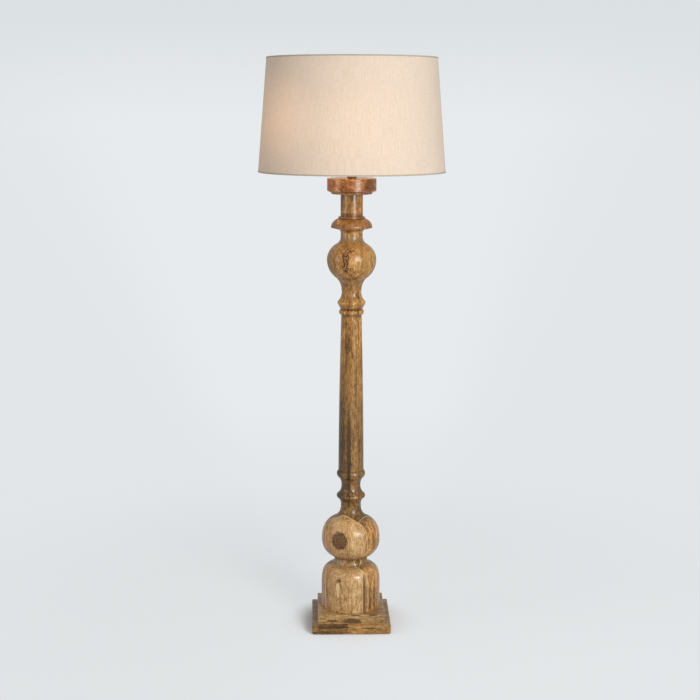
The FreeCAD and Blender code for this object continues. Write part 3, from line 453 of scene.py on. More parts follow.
def varnished(f, colour, fibre, pore, gloss=0.36):
    """A rubbed satin varnish over the wood: it lies a little lower over the pores. Painted shade darkens
    the hollows, and the beads and arrises are painted a little lighter.
    """
    lie = f.bump(fibre * 0.6 - pore, 0.00015, 0.6)
    relief = f.node("Attribute", {"attribute_name": "relief"}, output="Fac")
    # painted shade in the hollows and painted light on the beads, set by the outline's relief
    colour = f.mix(relief.rising(-0.05, -0.9) * 0.55, colour, HOLLOW_SHADE)
    colour = f.scaled(colour, 1 + relief.rising(0.4, 2.0) * 0.10)
    return f.finish(
        Base_Color=colour,
        Roughness=gloss + fibre * 0.16,
        Normal=lie,
        Coat_Weight=0.6,
        Coat_Roughness=0.21,
        Specular_IOR_Level=0.3,
    )


def wooden(f, p, seed, palette, rings=60.0, streaks=0.5):
    """One block's colour: its palette's four tones, dark to pale, laid out by rings, flecks and patches."""
    ring, fleck, fibre, pore, streak, patch = grain(f, p, seed, rings)
    depth = ring * 0.16 + fleck * 0.38 + patch * 0.24 + fibre * 1.35 - 0.45
    depth = depth - streak * streaks * 0.45 - pore * 0.42
    return f.ramp(depth, *zip((0.0, 0.32, 0.62, 1.0), palette)), fibre, pore


def plane(f, p, degrees, away):
    """How far a point lies beyond a glue plane whose normal stands degrees from the front, to the right."""
    t = math.radians(degrees)
    return f.along(p, (math.sin(t), -math.cos(t), 0)) - away


def glue(side, width=0.0009):
    """A thin line where a glue plane meets the surface."""
    return side.size().rising(width, width * 0.3)


# Tones of the wood. A palette runs from a block's darkest lines to its palest flecks.
DARK = tone(58, 34, 14)
# painted shade for the hollows of the turned wood
HOLLOW_SHADE = tone(70, 43, 18)
TORN = tone(52, 18, 8)
PALE = tone(224, 190, 140)
HONEY = (tone(121, 82, 44), tone(168, 126, 78), tone(195, 156, 104), tone(222, 189, 140))
PINKISH = (tone(116, 75, 40), tone(159, 112, 67), tone(186, 141, 89), tone(213, 172, 118))
TAN = (tone(85, 55, 21), tone(137, 95, 45), tone(172, 127, 68), tone(208, 164, 100))
OLIVE = (tone(53, 33, 9), tone(96, 66, 23), tone(131, 96, 39), tone(172, 134, 66))
BROWN = (tone(47, 27, 8), tone(90, 59, 24), tone(129, 92, 44), tone(172, 133, 75))
GOLD = (tone(81, 49, 15), tone(133, 90, 38), tone(170, 124, 60), tone(202, 162, 96))
RED = (tone(72, 34, 12), tone(126, 74, 32), tone(162, 104, 52), tone(198, 142, 84))
SAND = (tone(96, 66, 32), tone(142, 108, 62), tone(170, 134, 84), tone(198, 164, 114))

# Glue planes: (degrees from the front towards the right, distance from the axis).
FRONT_GLUE = (-30, 0.0346)
RIGHT_GLUE = (60, 0.0418)
SLIP_GLUE = (90, 0.0312)
LEFT_GLUE = (-90, 0.0705)
COLUMN_GLUE = (90, 0.0198)

# Marks in the turned wood: (centre, reach) in metres.
KNOT = ((-0.0337, -0.0724, 0.2561), (0.0235, 0.034, 0.026))
TEAR_TOP = ((-0.0376, -0.0720, 0.1235), (0.0062, 0.03, 0.0135))
TEAR_TAIL = ((-0.0370, -0.0720, 0.1080), (0.0036, 0.03, 0.0175))
SPECK = ((-0.034, -0.0711, 0.143), (0.009, 0.02, 0.006))
VEIN = ((-0.007, -0.031, 0.50), (0.008, 0.03, 0.17))
CHECK_DOWN = ((-0.0185, -0.0590, 1.0250), (0.0115, 0.03, 0.048))
CHECK_ACROSS = ((-0.0090, -0.0500, 1.0520), (0.0200, 0.03, 0.0075))
PAN_CLOUD = ((0.045, -0.045, 1.2215), (0.020, 0.030, 0.020))


def block_wood():
    """The bell and the lower ball: boards round a core, painted shade at the waist, a knot and a torn
    patch.
    """
    f = Finish("wood_honey")
    p = f.place()
    front = plane(f, p, *FRONT_GLUE)
    right = plane(f, p, *RIGHT_GLUE)
    slip = plane(f, p, *SLIP_GLUE)
    left = plane(f, p, *LEFT_GLUE)
    light, light_fibre, light_pore = wooden(f, p, 1.0, HONEY, 46, 0.35)
    core, *_ = wooden(f, p, 4.0, OLIVE, 75, 0.6)
    side, side_fibre, side_pore = wooden(f, p, 7.0, TAN, 58, 0.7)
    pink, *_ = wooden(f, p, 9.0, PINKISH, 50, 0.4)
    on_front = front.rising(-0.0001, 0.0001)
    on_right = right.rising(-0.0001, 0.0001)
    on_slip = slip.rising(-0.0001, 0.0001) * on_front
    reddened = f.along(p, (-1, 0, 0)).rising(0.030, 0.066)
    light = f.mix(reddened, light, pink)
    height = f.along(p, (0, 0, 1))
    # painted shade at the neck between bell and ball; the bell is also 8% darker below 0.15 m
    neck_shade = height.rising(0.168, 0.182) * height.rising(0.206, 0.192)
    light = f.scaled(light, 1 - neck_shade * 0.35 - height.rising(0.19, 0.15) * 0.08)
    in_bell = height.rising(0.1862, 0.1860)
    inner_strip = (front - 0.0074).rising(0.0001, -0.0001) * in_bell
    dark_strip = slip.rising(0.0085, 0.0075) * in_bell * (1 - inner_strip)
    beyond_slip = f.mix(dark_strip * 0.85, light, f.mix(side_fibre, BROWN[0], BROWN[2]))
    light = f.mix(on_slip, light, beyond_slip)
    colour = f.mix(on_right, f.scaled(core, 0.9), f.scaled(side, 0.60 + right.rising(0.0, 0.026) * 0.52))
    colour = f.mix(on_front, colour, light)
    seam = glue(front).most(glue(right) * (1 - on_front)).most(glue(slip) * on_front)
    seam = seam.most(glue(left) * on_front)
    colour = f.mix(seam * 0.75, colour, PALE)
    away = f.spot(p, *KNOT)
    rough_edge = f.noise(p, (210, 210, 210), 3.0, 0.75)
    knot = away + rough_edge * 1.0 - 0.5
    whorl = (away * 30 + rough_edge * 9).sine() * 0.5 + 0.5
    heart = f.ramp(whorl * 0.3 + rough_edge * 0.7, (0.25, BROWN[0]), (0.5, BROWN[1]), (0.75, TAN[1]))
    colour = f.mix(knot.rising(-0.22, 0.05) * 0.35, colour, RED[2])
    colour = f.mix(knot.rising(0.0, 0.16) * 0.92, colour, heart)
    colour = f.mix((knot.rising(0.02, 0.14) * knot.rising(0.36, 0.2)) * 0.7, colour, DARK)
    wide_tear = f.spot(p, *TEAR_TOP)
    tear = wide_tear.most(f.spot(p, *TEAR_TAIL))
    tear = tear + rough_edge * 0.3 - 0.15
    colour = f.mix(tear.rising(-0.45, 0.0) * 0.45, colour, BROWN[1])
    colour = f.mix(tear.rising(0.02, 0.12) * 0.85, colour, PALE)
    speck = f.spot(p, *SPECK)
    colour = f.mix(speck.rising(0.05, 0.5) * 0.7, colour, BROWN[0])
    fibre = light_fibre * on_front + side_fibre * (1 - on_front)
    pore = light_pore * on_front + side_pore * (1 - on_front)
    return varnished(f, colour, fibre, pore)


def column_wood():
    """The column, with one glue plane down its right side, the candle and its redder collar."""
    f = Finish("wood_brown")
    p = f.place()
    height = f.along(p, (0, 0, 1))
    right = plane(f, p, *COLUMN_GLUE)
    dark_side, left_fibre, left_pore = wooden(f, p, 11.0, BROWN, 62, 1.3)
    gold_side, *_ = wooden(f, p, 12.0, GOLD, 62, 0.8)
    right_side, right_fibre, right_pore = wooden(f, p, 14.0, GOLD, 54, 0.5)
    red_side, *_ = wooden(f, p, 16.0, RED, 54, 0.5)
    high = height.rising(0.50, 0.86)
    colour = f.mix(high * 0.75 + 0.1, dark_side, f.scaled(gold_side, 1.2))
    # painted shade: the left side of the lower column is darker
    column_left_shade = plane(f, p, -90, 0.004).rising(0.0, 0.02) * (1 - high)
    colour = f.scaled(colour, 1 - column_left_shade * 0.55)
    vein = f.spot(p, *VEIN) + left_fibre * 0.9 - 0.45
    colour = f.mix(vein.rising(0.0, 0.5) * 0.75, colour, BROWN[0])
    on_right = right.rising(-0.0001, 0.0001)
    colour = f.mix(on_right, colour, f.scaled(right_side, 0.52 + high * 0.62))
    colour = f.mix(glue(right, 0.0010) * 0.75, colour, DARK)
    collar = height.rising(1.104, 1.110) * height.rising(1.152, 1.146)
    colour = f.mix(collar * 0.85, colour, f.scaled(red_side, 0.62))
    candle = height.rising(1.150, 1.156)
    colour = f.mix(candle * 0.8, colour, f.scaled(dark_side, 1.22))
    fibre = left_fibre * (1 - on_right) + right_fibre * on_right
    pore = left_pore * (1 - on_right) + right_pore * on_right
    return varnished(f, colour, fibre, pore)


def orb_wood():
    """The upper ball: dark reddish checks in its left front, golden at its right, yellower above,
    and painted shade on its left and underside.
    """
    f = Finish("wood_dark")
    p = f.place()
    axes = f.node("SeparateXYZ", None, [p])
    brown, fibre, pore = wooden(f, p, 23.0, TAN, 52, 0.4)
    golden, *_ = wooden(f, p, 24.0, GOLD, 60, 0.4)
    yellow, *_ = wooden(f, p, 26.0, SAND, 70, 0.4)
    # painted shade: the brown on the ball's left side is darker
    orb_left_shade = axes.rising(-0.028, -0.060)
    brown = f.scaled(brown, 1.12 - orb_left_shade * 0.45)
    colour = f.mix(axes.rising(0.004, 0.045), brown, f.scaled(golden, 0.88))
    colour = f.mix(axes.other("Z").rising(1.056, 1.074) * 0.85, colour, f.scaled(yellow, 1.1))
    # painted shade: darker under the ball, towards its lower neck
    colour = f.scaled(colour, 1 - axes.other("Z").rising(0.988, 0.956) * 0.3)
    arm = f.spot(p, *CHECK_DOWN)
    check = arm.most(f.spot(p, *CHECK_ACROSS))
    torn = f.noise(p, (330, 330, 75), 3.0, 0.7).rising(0.47, 0.55)
    colour = f.mix(arm.rising(-0.4, 0.3) * 0.25, colour, RED[1])
    colour = f.mix(check.rising(0.0, 0.3) * torn, colour, TORN)
    return varnished(f, colour, fibre, pore)


def pan_wood():
    """The drip pan: redder wood with dark clouds."""
    f = Finish("wood_red")
    p = f.place(lean=(0, math.radians(78), 0))
    colour, fibre, pore = wooden(f, p, 31.0, RED, 52, 0.8)
    cloud = f.spot(f.place(), *PAN_CLOUD) + fibre * 1.2 - 0.6
    colour = f.mix(cloud.rising(0.0, 0.4) * 0.6, colour, DARK)
    return varnished(f, colour, fibre, pore)


def board_wood(name, seed, palette, split=None, marks=()):
    """A plinth tier: boards with their grain from left to right, and dark marks at their own spots."""
    f = Finish(name)
    here = f.place()
    p = f.place(lean=(0, math.radians(90), 0))
    colour, fibre, pore = wooden(f, p, seed, palette, 40, 0.5)
    ragged = f.noise(here, (60, 60, 420), 3.0, 0.7)
    if split is not None:
        at, other_seed, other_palette = split
        second, second_fibre, second_pore = wooden(f, p, other_seed, other_palette, 36, 0.3)
        beyond = plane(f, here, 90, at) + (ragged - 0.5) * 0.004
        on = beyond.rising(-0.0002, 0.0002)
        colour = f.mix(on, colour, second)
        fibre = fibre * (1 - on) + second_fibre * on
        pore = pore * (1 - on) + second_pore * on
    colour = f.scaled(colour, 1 - plane(f, here, 90, 0.03).rising(-0.015, 0.035) * 0.26)
    for centre, reach in marks:
        mark = f.spot(here, centre, reach) + ragged * 1.6 - 0.8
        colour = f.mix(mark.rising(0.0, 0.3) * 0.8, colour, DARK)
    return varnished(f, colour, fibre, pore, 0.42)


def bare_wood():
    f = Finish("wood_pale")
    colour, fibre, pore = wooden(f, f.place(), 41.0, HONEY, 80, 0.2)
    return f.finish(
        Base_Color=colour, Roughness=0.6 + fibre * 0.2, Normal=f.bump(fibre - pore, 0.0001)
    )


# ---------------------------------------------------------------- cloth, metal, plastic and glass
def weave(f, pitch):
    """A plain weave on the cloth's own metres: threads go over and under, and both kinds have slubs."""
    at = f.cloth()
    axes = f.node("SeparateXYZ", None, [at])
    u = axes + (f.noise(at, (60, 12, 1), 2.0) - 0.5) * 0.0012
    v = axes.other("Y") + (f.noise(at, (12, 60, 1), 2.0) - 0.5) * 0.0012
    warp = (u * (math.tau / pitch)).sine()
    weft = (v * (math.tau / pitch)).sine()
    over = warp * weft * 0.5 + 0.5
    upright = f.noise(at, (700, 22, 1), 4.0, 0.7)
    level = f.noise(at, (22, 700, 1), 4.0, 0.7)
    return over, upright, level


def linen_cloth():
    """Oatmeal linen. Painted light: the bulb's glow through it, strongest at the middle of its height,
    and a patch of light on its front left, as emission in the shade's own coordinates.
    """
    f = Finish("linen")
    over, upright, level = weave(f, 0.0012)
    at = f.cloth()
    axes = f.node("SeparateXYZ", None, [f.place()])
    cloud = f.noise(at, (7, 5, 1), 2.0)
    mottle = f.noise(at, (420, 130, 1), 4.0, 0.75)
    slub = upright.rising(0.54, 0.72)
    colour = f.mix(upright.rising(0.25, 0.75), tone(200, 183, 164), tone(218, 205, 189))
    colour = f.mix(mottle.rising(0.35, 0.65) * 0.5, colour, tone(226, 212, 199))
    colour = f.mix(level.rising(0.45, 0.75) * 0.3, colour, tone(192, 176, 160))
    colour = f.mix(slub * 0.22, colour, tone(233, 222, 210))
    colour = f.scaled(colour, 0.875 + over * 0.08 + cloud * 0.04)
    # painted light: the bulb's glow through the linen, by height and across
    rise = (axes.other("Z") - 1.385) * 6.5
    turned_left = axes + 0.03
    glow = 1.0 / (1.0 + rise * rise + turned_left * turned_left * 26)
    # painted light: a patch of light on the shade's front left
    side_glow = f.spot(f.place(), (-0.20, -0.14, 1.40), (0.14, 0.2, 0.17)).rising(0.0, 1.0)
    light = f.mix(glow, tone(168, 84, 30), tone(255, 176, 108))
    spread_light = f.scaled(tone(255, 225, 176), side_glow * 0.09)
    painted_glow = glow * 0.14 + side_glow * 0.14 + (upright - 0.5) * 0.03
    return f.finish(
        Base_Color=colour,
        Roughness=0.82 + over * 0.1,
        Normal=f.bump(over * 0.5 + upright * 0.8 + level * 0.5, 0.0003, 0.5),
        Emission_Color=f.mix(1.0, f.scaled(light, painted_glow), spread_light, "ADD"),
        Emission_Strength=1.0,
        Sheen_Weight=0.15,
        Specular_IOR_Level=0.2,
    )


def hem_cloth():
    f = Finish("linen_hem")
    over, upright, level = weave(f, 0.0009)
    colour = f.mix(upright, tone(158, 148, 132), tone(190, 180, 164))
    colour = f.scaled(colour, 0.92 + over * 0.1)
    return f.finish(
        Base_Color=colour,
        Roughness=0.85 + level * 0.1,
        Normal=f.bump(over + upright * 0.6, 0.0003, 0.5),
        Specular_IOR_Level=0.2,
    )


def liner_sheet():
    """The shade's translucent plastic lining, bright with the bulb's light, painted in as emission."""
    f = Finish("liner")
    p = f.place()
    axes = f.node("SeparateXYZ", None, [p])
    mottle = f.noise(p, (38, 38, 38), 3.0)
    colour = f.scaled(tone(240, 232, 216), 0.92 + mottle * 0.12)
    # painted light: the bulb's glow on the lining, strongest at the bulb's height
    middle = ((axes.other("Z") - 1.395) * 6.5).size()
    glow = 1.0 / (1.0 + middle * middle)
    light = f.scaled(tone(255, 206, 150), glow * 0.55 + mottle * 0.05)
    return f.finish(
        Base_Color=colour,
        Roughness=0.45 + mottle * 0.1,
        Normal=f.bump(mottle, 0.0002),
        Emission_Color=light,
        Emission_Strength=1.0,
    )


def metal(name, colour, rough, metallic=1.0, brushed=(40, 40, 900), coat=0.0):
    """Metal with the fine lines that turning or drawing leaves, and a few duller patches."""
    f = Finish(name)
    p = f.place()
    lines = f.noise(p, brushed, 3.0, 0.6)
    dull = f.noise(p, (90, 90, 90), 2.0).rising(0.45, 0.75)
    shade = f.scaled(colour, 0.86 + lines * 0.22 - dull * 0.08)
    return f.finish(
        Base_Color=shade,
        Metallic=metallic,
        Roughness=rough + lines * 0.12 + dull * 0.12,
        Normal=f.bump(lines, 0.00005, 0.6),
        Coat_Weight=coat,
    )


def moulded(name, colour, rough):
    """Moulded plastic or rubber with a faint orange-peel skin."""
    f = Finish(name)
    p = f.place()
    peel = f.noise(p, (1400, 1400, 1400), 2.0)
    haze = f.noise(p, (60, 60, 60), 2.0)
    return f.finish(
        Base_Color=f.scaled(colour, 0.85 + haze * 0.3),
        Roughness=rough + haze * 0.12,
        Normal=f.bump(peel, 0.00006, 0.5),
    )


def felt_pad():
    f = Finish("felt")
    p = f.place()
    hairs = f.noise(p, (1500, 1500, 300), 4.0, 0.75)
    tufts = f.noise(p, (260, 260, 260), 2.0)
    colour = f.mix(hairs.rising(0.35, 0.7), tone(44, 40, 37), tone(92, 86, 80))
    return f.finish(
        Base_Color=f.scaled(colour, 0.8 + tufts * 0.4), Roughness=0.95, Normal=f.bump(hairs, 0.0006)
    )


def clear_glass():
    """Blown glass, a little uneven, with a trace of dust on its shoulder."""
    f = Finish("bulb_glass")
    p = f.place()
    ripple = f.noise(p, (70, 70, 40), 1.0)
    dust = f.noise(p, (500, 500, 500), 3.0, 0.7).rising(0.55, 0.8)
    return f.finish(
        Base_Color=f.mix(dust * 0.2, tone(255, 253, 248), tone(214, 208, 198)),
        Roughness=0.02 + dust * 0.12,
        Normal=f.bump(ripple, 0.0003, 0.5),
        Transmission_Weight=1.0,
        IOR=1.47,
    )


def glowing_filament():
    f = Finish("filament")
    p = f.place()
    beads = f.noise(p, (200, 200, 1100), 1.0)
    light = f.mix(beads, tone(255, 176, 92), tone(255, 222, 160))
    return f.finish(
        Base_Color=tone(250, 214, 130), Roughness=0.5, Emission_Color=light, Emission_Strength=3.0
    )


# Dark marks in the plinth's front: a curled eye and drying slits, as (centre, reach) in metres.
STEP_MARKS = (
    ((0.004, -0.0925, 0.0335), (0.026, 0.012, 0.0095)),
    ((-0.055, -0.0925, 0.0355), (0.018, 0.006, 0.0028)),
    ((0.012, -0.0925, 0.0500), (0.016, 0.005, 0.0022)),
    ((0.058, -0.0920, 0.0508), (0.014, 0.005, 0.0022)),
)
BASE_MARKS = (
    ((-0.050, -0.1080, 0.0225), (0.050, 0.012, 0.0060)),
    ((0.045, -0.1080, 0.0190), (0.026, 0.004, 0.0020)),
)

MATERIALS = {
    "felt": felt_pad(),
    "wood_plinth": board_wood("wood_plinth", 51.0, BROWN, (-0.010, 55.0, TAN), BASE_MARKS),
    "wood_step": board_wood("wood_step", 61.0, SAND, marks=STEP_MARKS),
    "wood_pale": bare_wood(),
    "iron": metal("iron", tone(74, 74, 78), 0.6, 0.8, (160, 160, 160)),
    "zinc": metal("zinc", tone(188, 188, 186), 0.32),
    "black_rubber": moulded("black_rubber", tone(36, 35, 34), 0.6),
    "wood_honey": block_wood(),
    "wood_brown": column_wood(),
    "wood_dark": orb_wood(),
    "wood_red": pan_wood(),
    "dark_metal": metal("dark_metal", tone(62, 60, 58), 0.36, 0.9, coat=0.2),
    "aged_brass": metal("aged_brass", tone(128, 106, 74), 0.4),
    "core_plastic": moulded("core_plastic", tone(34, 33, 32), 0.45),
    "brass": metal("brass", tone(206, 166, 88), 0.28),
    "switch_plastic": moulded("switch_plastic", tone(30, 30, 30), 0.25),
    "bulb_metal": metal("bulb_metal", tone(206, 207, 210), 0.3),
    "bulb_glass": clear_glass(),
    "filament": glowing_filament(),
    "linen": linen_cloth(),
    "liner": liner_sheet(),
    "linen_hem": hem_cloth(),
    "white_wire": metal("white_wire", tone(236, 234, 228), 0.35, 0.0, (300, 300, 300)),
}

bodies = frame["record"]["behaviour"]["bodies"]
body_of_node = {node: body for body, nodes in bodies.items() for node in nodes}
slot_of_node = {row["node"]: row["material_slot"] for row in frame["record"]["subparts"]}
for node, part in frame["nodes"].items():
    part.material_slots[0].material = MATERIALS[slot_of_node[node]]


def stand_for(node, piece):
    """Gives a new piece the finish and the body of the CAD node that it replaces."""
    slot = slot_of_node[node]
    return dress(piece, MATERIALS[slot], slot, body_of_node[node], node)


# ---------------------------------------------------------------- turned wood
START = (BORE_R, -TENON_LENGTH)

bell_top = swell(BELL_R, 119.2, 12.8, 73.4, 16.0, BELL_NECK_R, True)
bell_steps = tenon() + [(BELL_R - 1.5, 0), (BELL_R, 1.5, 1.5, LEFT), (BELL_R, BELL_STRAIGHT - 1.5)]
bell_steps += topped(bell_top) + socket()
stand_for("lower_bell", turn("turned_bell", outline(BELL_LOW, START, bell_steps)))

ball_low = BELL_LOW + BELL_STRAIGHT + rise_of(bell_top)
ball_under = swell(BALL_R, 69.9, 10.6, 63.9, 12.4, BELL_NECK_R, False)
ball_over = swell(BALL_R, 105.3, 13.9, 66.4, 33.1, BALL_NECK_R, True)
ball_outer = ball_under + ball_over + [(BALL_NECK_R, 4.0)]
column_low = ball_low + rise_of(ball_outer)
stand_for(
    "lower_ball",
    turn(
        "turned_lower_ball",
        outline(ball_low, START, tenon() + rubbed_neck(BELL_NECK_R, ball_outer) + socket()),
    ),
)

column_outer = (
    hollow(BALL_NECK_R, SHARP_BEAD_R, 21.9, 3.5)
    + bead(SHARP_BEAD_R, 10.5, 2.0)
    + hollow(SHARP_BEAD_R, DEEP_HOLLOW_R, 23.6, 3.4)
    + hollow(DEEP_HOLLOW_R, ROUND_BEAD_R, 25.6, 3.4)
    + bead(ROUND_BEAD_R, 16.2, 2.7)
    + [
        (TAPER_LOW_R, 0),
        (TAPER_TOP_R, TAPER_LENGTH, bulge_r(TAPER_LOW_R - TAPER_TOP_R, TAPER_LENGTH, 1.2), LEFT),
        (SMALL_BEAD_R, 0),
    ]
    + bead(SMALL_BEAD_R, 14.3, 5.1)
    + [(RIDGE_R, 12.4)]
    + bead(RIDGE_R, 11.7, 2.7)
    + hollow(RIDGE_R, TOP_NECK_R, 29.0, 3.7)
)
orb_low = column_low + rise_of(column_outer)
stand_for(
    "column",
    turn(
        "turned_column",
        outline(column_low, START, tenon() + rubbed_neck(BALL_NECK_R, column_outer) + socket()),
    ),
)

orb_outer = (
    swell(ORB_R, 62.6, 19.6, 52.0, 43.6, TOP_NECK_R, False)
    + swell(ORB_R, 46.3, 24.4, 60.6, 21.6, ORB_NECK_R, True)
    + [(ORB_NECK_R, 11.4)]
)
cup_low = orb_low + rise_of(orb_outer)
stand_for(
    "upper_ball",
    turn(
        "turned_upper_ball",
        outline(orb_low, START, tenon() + rubbed_neck(TOP_NECK_R, orb_outer) + socket()),
    ),
)

cup_outer = (
    hollow(ORB_NECK_R, CUP_FOOT_R, 8.1, 1.5)
    + [(COLLAR_R, 4.7)]
    + bead(COLLAR_R, 6.8, 0.7)
    + [(CUP_LIP_R, 18.2, bulge_r(COLLAR_R - CUP_LIP_R, 18.2, 3.4), LEFT)]
    + bead(CUP_LIP_R, 4.8, 0.8)
    + [(CANDLE_R, 0), (CANDLE_R, CANDLE_LENGTH)]
)
pan_low = cup_low + rise_of(cup_outer)
stand_for(
    "candle_cup",
    turn(
        "turned_candle_cup",
        outline(cup_low, START, tenon() + rubbed_neck(ORB_NECK_R, cup_outer) + socket()),
    ),
)

pan_outer = [
    (LIP_R - PAN_ROUND, 0),
    (LIP_R, PAN_ROUND, PAN_ROUND, LEFT),
    (LIP_R, LIP_HEIGHT - PAN_ROUND),
    (57.0, 0),
    (PAN_R, 4.4),
    (PAN_R, PAN_HEIGHT - PAN_ROUND),
    (PAN_R - PAN_ROUND, PAN_ROUND, PAN_ROUND, LEFT),
    (BORE_R, 0),
]
stand_for("drip_pan", turn("turned_drip_pan", outline(pan_low, START, tenon() + pan_outer)))
pan_top = pan_low + rise_of(pan_outer)

# ---------------------------------------------------------------- shade
shade_low = pan_top + SPACER_LENGTH + HOLDER_TO_RING - RING_ABOVE_EDGE
lean = (SHADE_LOW_R - SHADE_TOP_R) / SHADE_HEIGHT


def seam_step(t):
    """The linen's lap: one thickness more over a strip at the rear, with soft edges."""
    from_rear = (t - math.pi / 2 + math.pi) % math.tau - math.pi
    across = from_rear * SHADE_LOW_R
    edge = np.clip((SEAM_LAP / 2 - np.abs(across)) / 1.2 + 0.5, 0, 1)
    return edge * LINEN * MM * 0.8


def wall(outer_gap, thickness):
    """The tapered wall's outline, cut into short lengths."""
    rows = np.linspace(0, 1, 33)
    out_r = SHADE_LOW_R - outer_gap - (SHADE_LOW_R - SHADE_TOP_R) * rows
    outer = np.stack([out_r, shade_low + SHADE_HEIGHT * rows], 1)
    inner = outer[::-1] - [thickness, 0]
    return np.concatenate([outer, inner]) * MM


around = np.linspace(0, math.tau, 288, endpoint=False)
lap_half = SEAM_LAP / 2 / SHADE_LOW_R
lap_angles = math.pi / 2 + np.array([-1.15, -0.95, -0.85, 0.85, 0.95, 1.15]) * lap_half
around = np.unique(np.concatenate([around, lap_angles]))
linen = turn("linen_shade", wall(0.0, LINEN), angles=around, swollen=seam_step)
stand_for("shade_linen", linen)
liner = turn("shade_lining", wall(LINEN, LINER), around=192)
stand_for("shade_liner", liner)


def hem_band(edge_r, bottom):
    """A folded tape over the edge: its leg outside the linen, a rounded fold, and its web inwards."""
    reach = LINEN + LINER + 2 * WIRE_R + WIRE_GAP
    way = 1 if bottom else -1
    fold = [
        (edge_r - reach, 0),
        (edge_r - reach, -HEM),
        (edge_r - 0.3, -HEM),
        (edge_r + 0.25, -HEM + 0.2),
        (edge_r + HEM, 0),
        (edge_r + HEM - way * lean * HEM_HEIGHT, HEM_HEIGHT),
        (edge_r - way * lean * HEM_HEIGHT, HEM_HEIGHT),
        (edge_r, 0),
    ]
    points = np.array(fold) * [1, way]
    return points if bottom else points[::-1]


for node, name, edge_r, low, bottom in (
    ("bottom_hem", "lower_hem", SHADE_LOW_R, shade_low, True),
    ("top_hem", "upper_hem", SHADE_TOP_R, shade_low + SHADE_HEIGHT, False),
):
    stand_for(node, turn(name, (hem_band(edge_r, bottom) + [0, low]) * MM, around=240))

# ---------------------------------------------------------------- room, lamps and camera
def shown_to_lens(f):
    """1 for what the camera sees directly or through glass, and 0 for light that bounces."""
    ray = f.node("LightPath", output="Is Camera Ray")
    return ray.most(ray.other("Is Transmission Ray"))


BACKDROP = tone(232, 235, 238)
DIMMER = tone(225, 229, 231)


def room_finish():
    """A plain pale floor. The lens sees it partly as its own even tone, less so close to the object,
    where its shadow lies, and only so far off, where it is the backdrop's colour. It dims a little
    towards both sides.
    """
    f = Finish("pale_floor")
    p = f.place()
    away = f.node("VectorMath", {"operation": "LENGTH"}, [p], "Value")
    speck = f.noise(p, (120, 120, 120), 2.0)
    bare = f.scaled(tone(213, 216, 219), 0.985 + speck * 0.03)
    lit = f.node("BsdfDiffuse", None, {"Color": bare, "Roughness": 1.0})
    even = f.mix(away.rising(0.9, 3.2), tone(226, 230, 233), BACKDROP)
    sideways = f.along(p, (1, 0, 0)).size() / (away + 0.5)
    even = f.mix(sideways.rising(0.12, 0.26) * 0.9, even, DIMMER)
    glow = f.node("Emission", None, {"Color": even, "Strength": 1.0})
    share = shown_to_lens(f) * (away.rising(0.11, 0.21) * 0.80 + away.rising(0.5, 1.7) * 0.20)
    surface = f.node("MixShader", None, [share, lit, glow])
    f.node("OutputMaterial", None, {"Surface": surface})
    return f.material


FLOOR_HALF = 60.0
FLOOR_LINES = 9

floor = bpy.data.objects.new("floor", bpy.data.meshes.new("floor"))
lines = np.linspace(-FLOOR_HALF, FLOOR_HALF, FLOOR_LINES)
grid_x, grid_y = np.meshgrid(lines, lines)
spots = np.stack([grid_x.ravel(), grid_y.ravel(), np.zeros(FLOOR_LINES**2)], 1)
steps = np.arange(FLOOR_LINES - 1)
first = (steps[:, None] * FLOOR_LINES + steps).ravel()
quads = np.stack([first, first + 1, first + FLOOR_LINES + 1, first + FLOOR_LINES], 1)
floor.data.from_pydata(spots.tolist(), [], quads.tolist())
floor.data.materials.append(room_finish())
bpy.context.scene.collection.objects.link(floor)

studio = Finish("studio", bpy.data.worlds)
room_light = studio.node("Background", None, {"Color": (1.0, 0.975, 0.94, 1.0), "Strength": 0.5})
sky = studio.node("SeparateXYZ", None, [studio.node("TexCoord", output="Generated")])
height_tone = studio.mix(sky.size().rising(0.12, 0.26) * 0.9, BACKDROP, DIMMER)
height_tone = studio.mix(sky.other("Z").rising(-0.02, 0.07), height_tone, tone(220, 225, 228))
backdrop = studio.node("Background", None, {"Color": height_tone, "Strength": 1.0})
either = studio.node("MixShader", None, [shown_to_lens(studio), room_light, backdrop])
studio.node("OutputWorld", None, {"Surface": either})
bpy.context.scene.world = studio.material


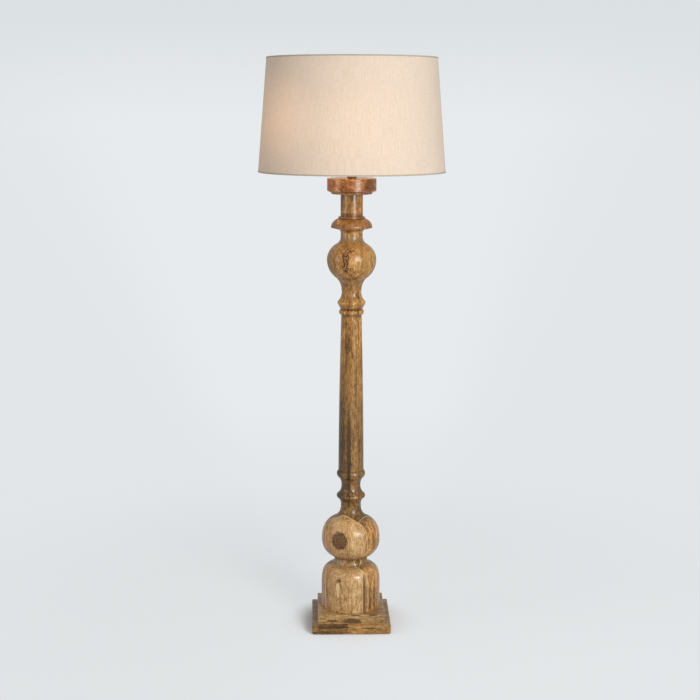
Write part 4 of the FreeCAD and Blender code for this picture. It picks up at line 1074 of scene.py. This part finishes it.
def softbox(name, spot, aim, width, height, power, colour=(1, 1, 1)):
    lamp = bpy.data.lights.new(name, "AREA")
    lamp.shape = "RECTANGLE"
    lamp.size = width
    lamp.size_y = height
    lamp.energy = power
    lamp.color = colour
    holder = bpy.data.objects.new(name, lamp)
    toward = Vector(aim) - Vector(spot)
    holder.matrix_world = Matrix.Translation(spot) @ toward.to_track_quat("-Z", "Y").to_matrix().to_4x4()
    bpy.context.scene.collection.objects.link(holder)


softbox("key", (1.45, -2.75, 1.55), (0, 0, 0.85), 1.2, 1.3, 77, (1.0, 0.985, 0.96))
softbox("fill", (-2.6, -0.95, 1.35), (0, 0, 0.85), 0.8, 1.2, 12, (1.0, 0.94, 0.86))

BULB_HEIGHT = 1.389
bulb = bpy.data.lights.new("bulb_light", "POINT")
bulb.energy = 1.6
bulb.color = (1.0, 0.74, 0.46)
bulb.shadow_soft_size = 0.028
bulb_place = bpy.data.objects.new("bulb_light", bulb)
bulb_place.location = (0, 0, BULB_HEIGHT)
bpy.context.scene.collection.objects.link(bulb_place)

# The photograph's view: a picture 700 wide, and a lens that lies this many of its units behind it.
PICTURE_WIDTH = 700
FOCAL_LENGTH = 1415.16
SENSOR = 36
STANDPOINT = (-0.1079, -3.7957, 1.4310)
YAW, PITCH, ROLL = (math.radians(a) for a in (1.574, 9.811, 0.159))
ahead = Vector((math.sin(YAW), math.cos(YAW), 0))
aside = Vector((math.cos(YAW), -math.sin(YAW), 0))
upright = Vector((0, 0, 1))
look = math.cos(PITCH) * ahead - math.sin(PITCH) * upright
over = math.sin(PITCH) * ahead + math.cos(PITCH) * upright
right = math.cos(ROLL) * aside + math.sin(ROLL) * over
top = math.cos(ROLL) * over - math.sin(ROLL) * aside
lens = bpy.data.cameras.new("camera")
lens.sensor_width = SENSOR
lens.lens = SENSOR * FOCAL_LENGTH / PICTURE_WIDTH
lens.clip_end = 200
camera = bpy.data.objects.new("camera", lens)
axes = Matrix((right, top, -look)).transposed().to_4x4()
camera.matrix_world = Matrix.Translation(STANDPOINT) @ axes
bpy.context.scene.collection.objects.link(camera)
bpy.context.scene.camera = camera
bpy.context.scene.view_settings.view_transform = "Standard"
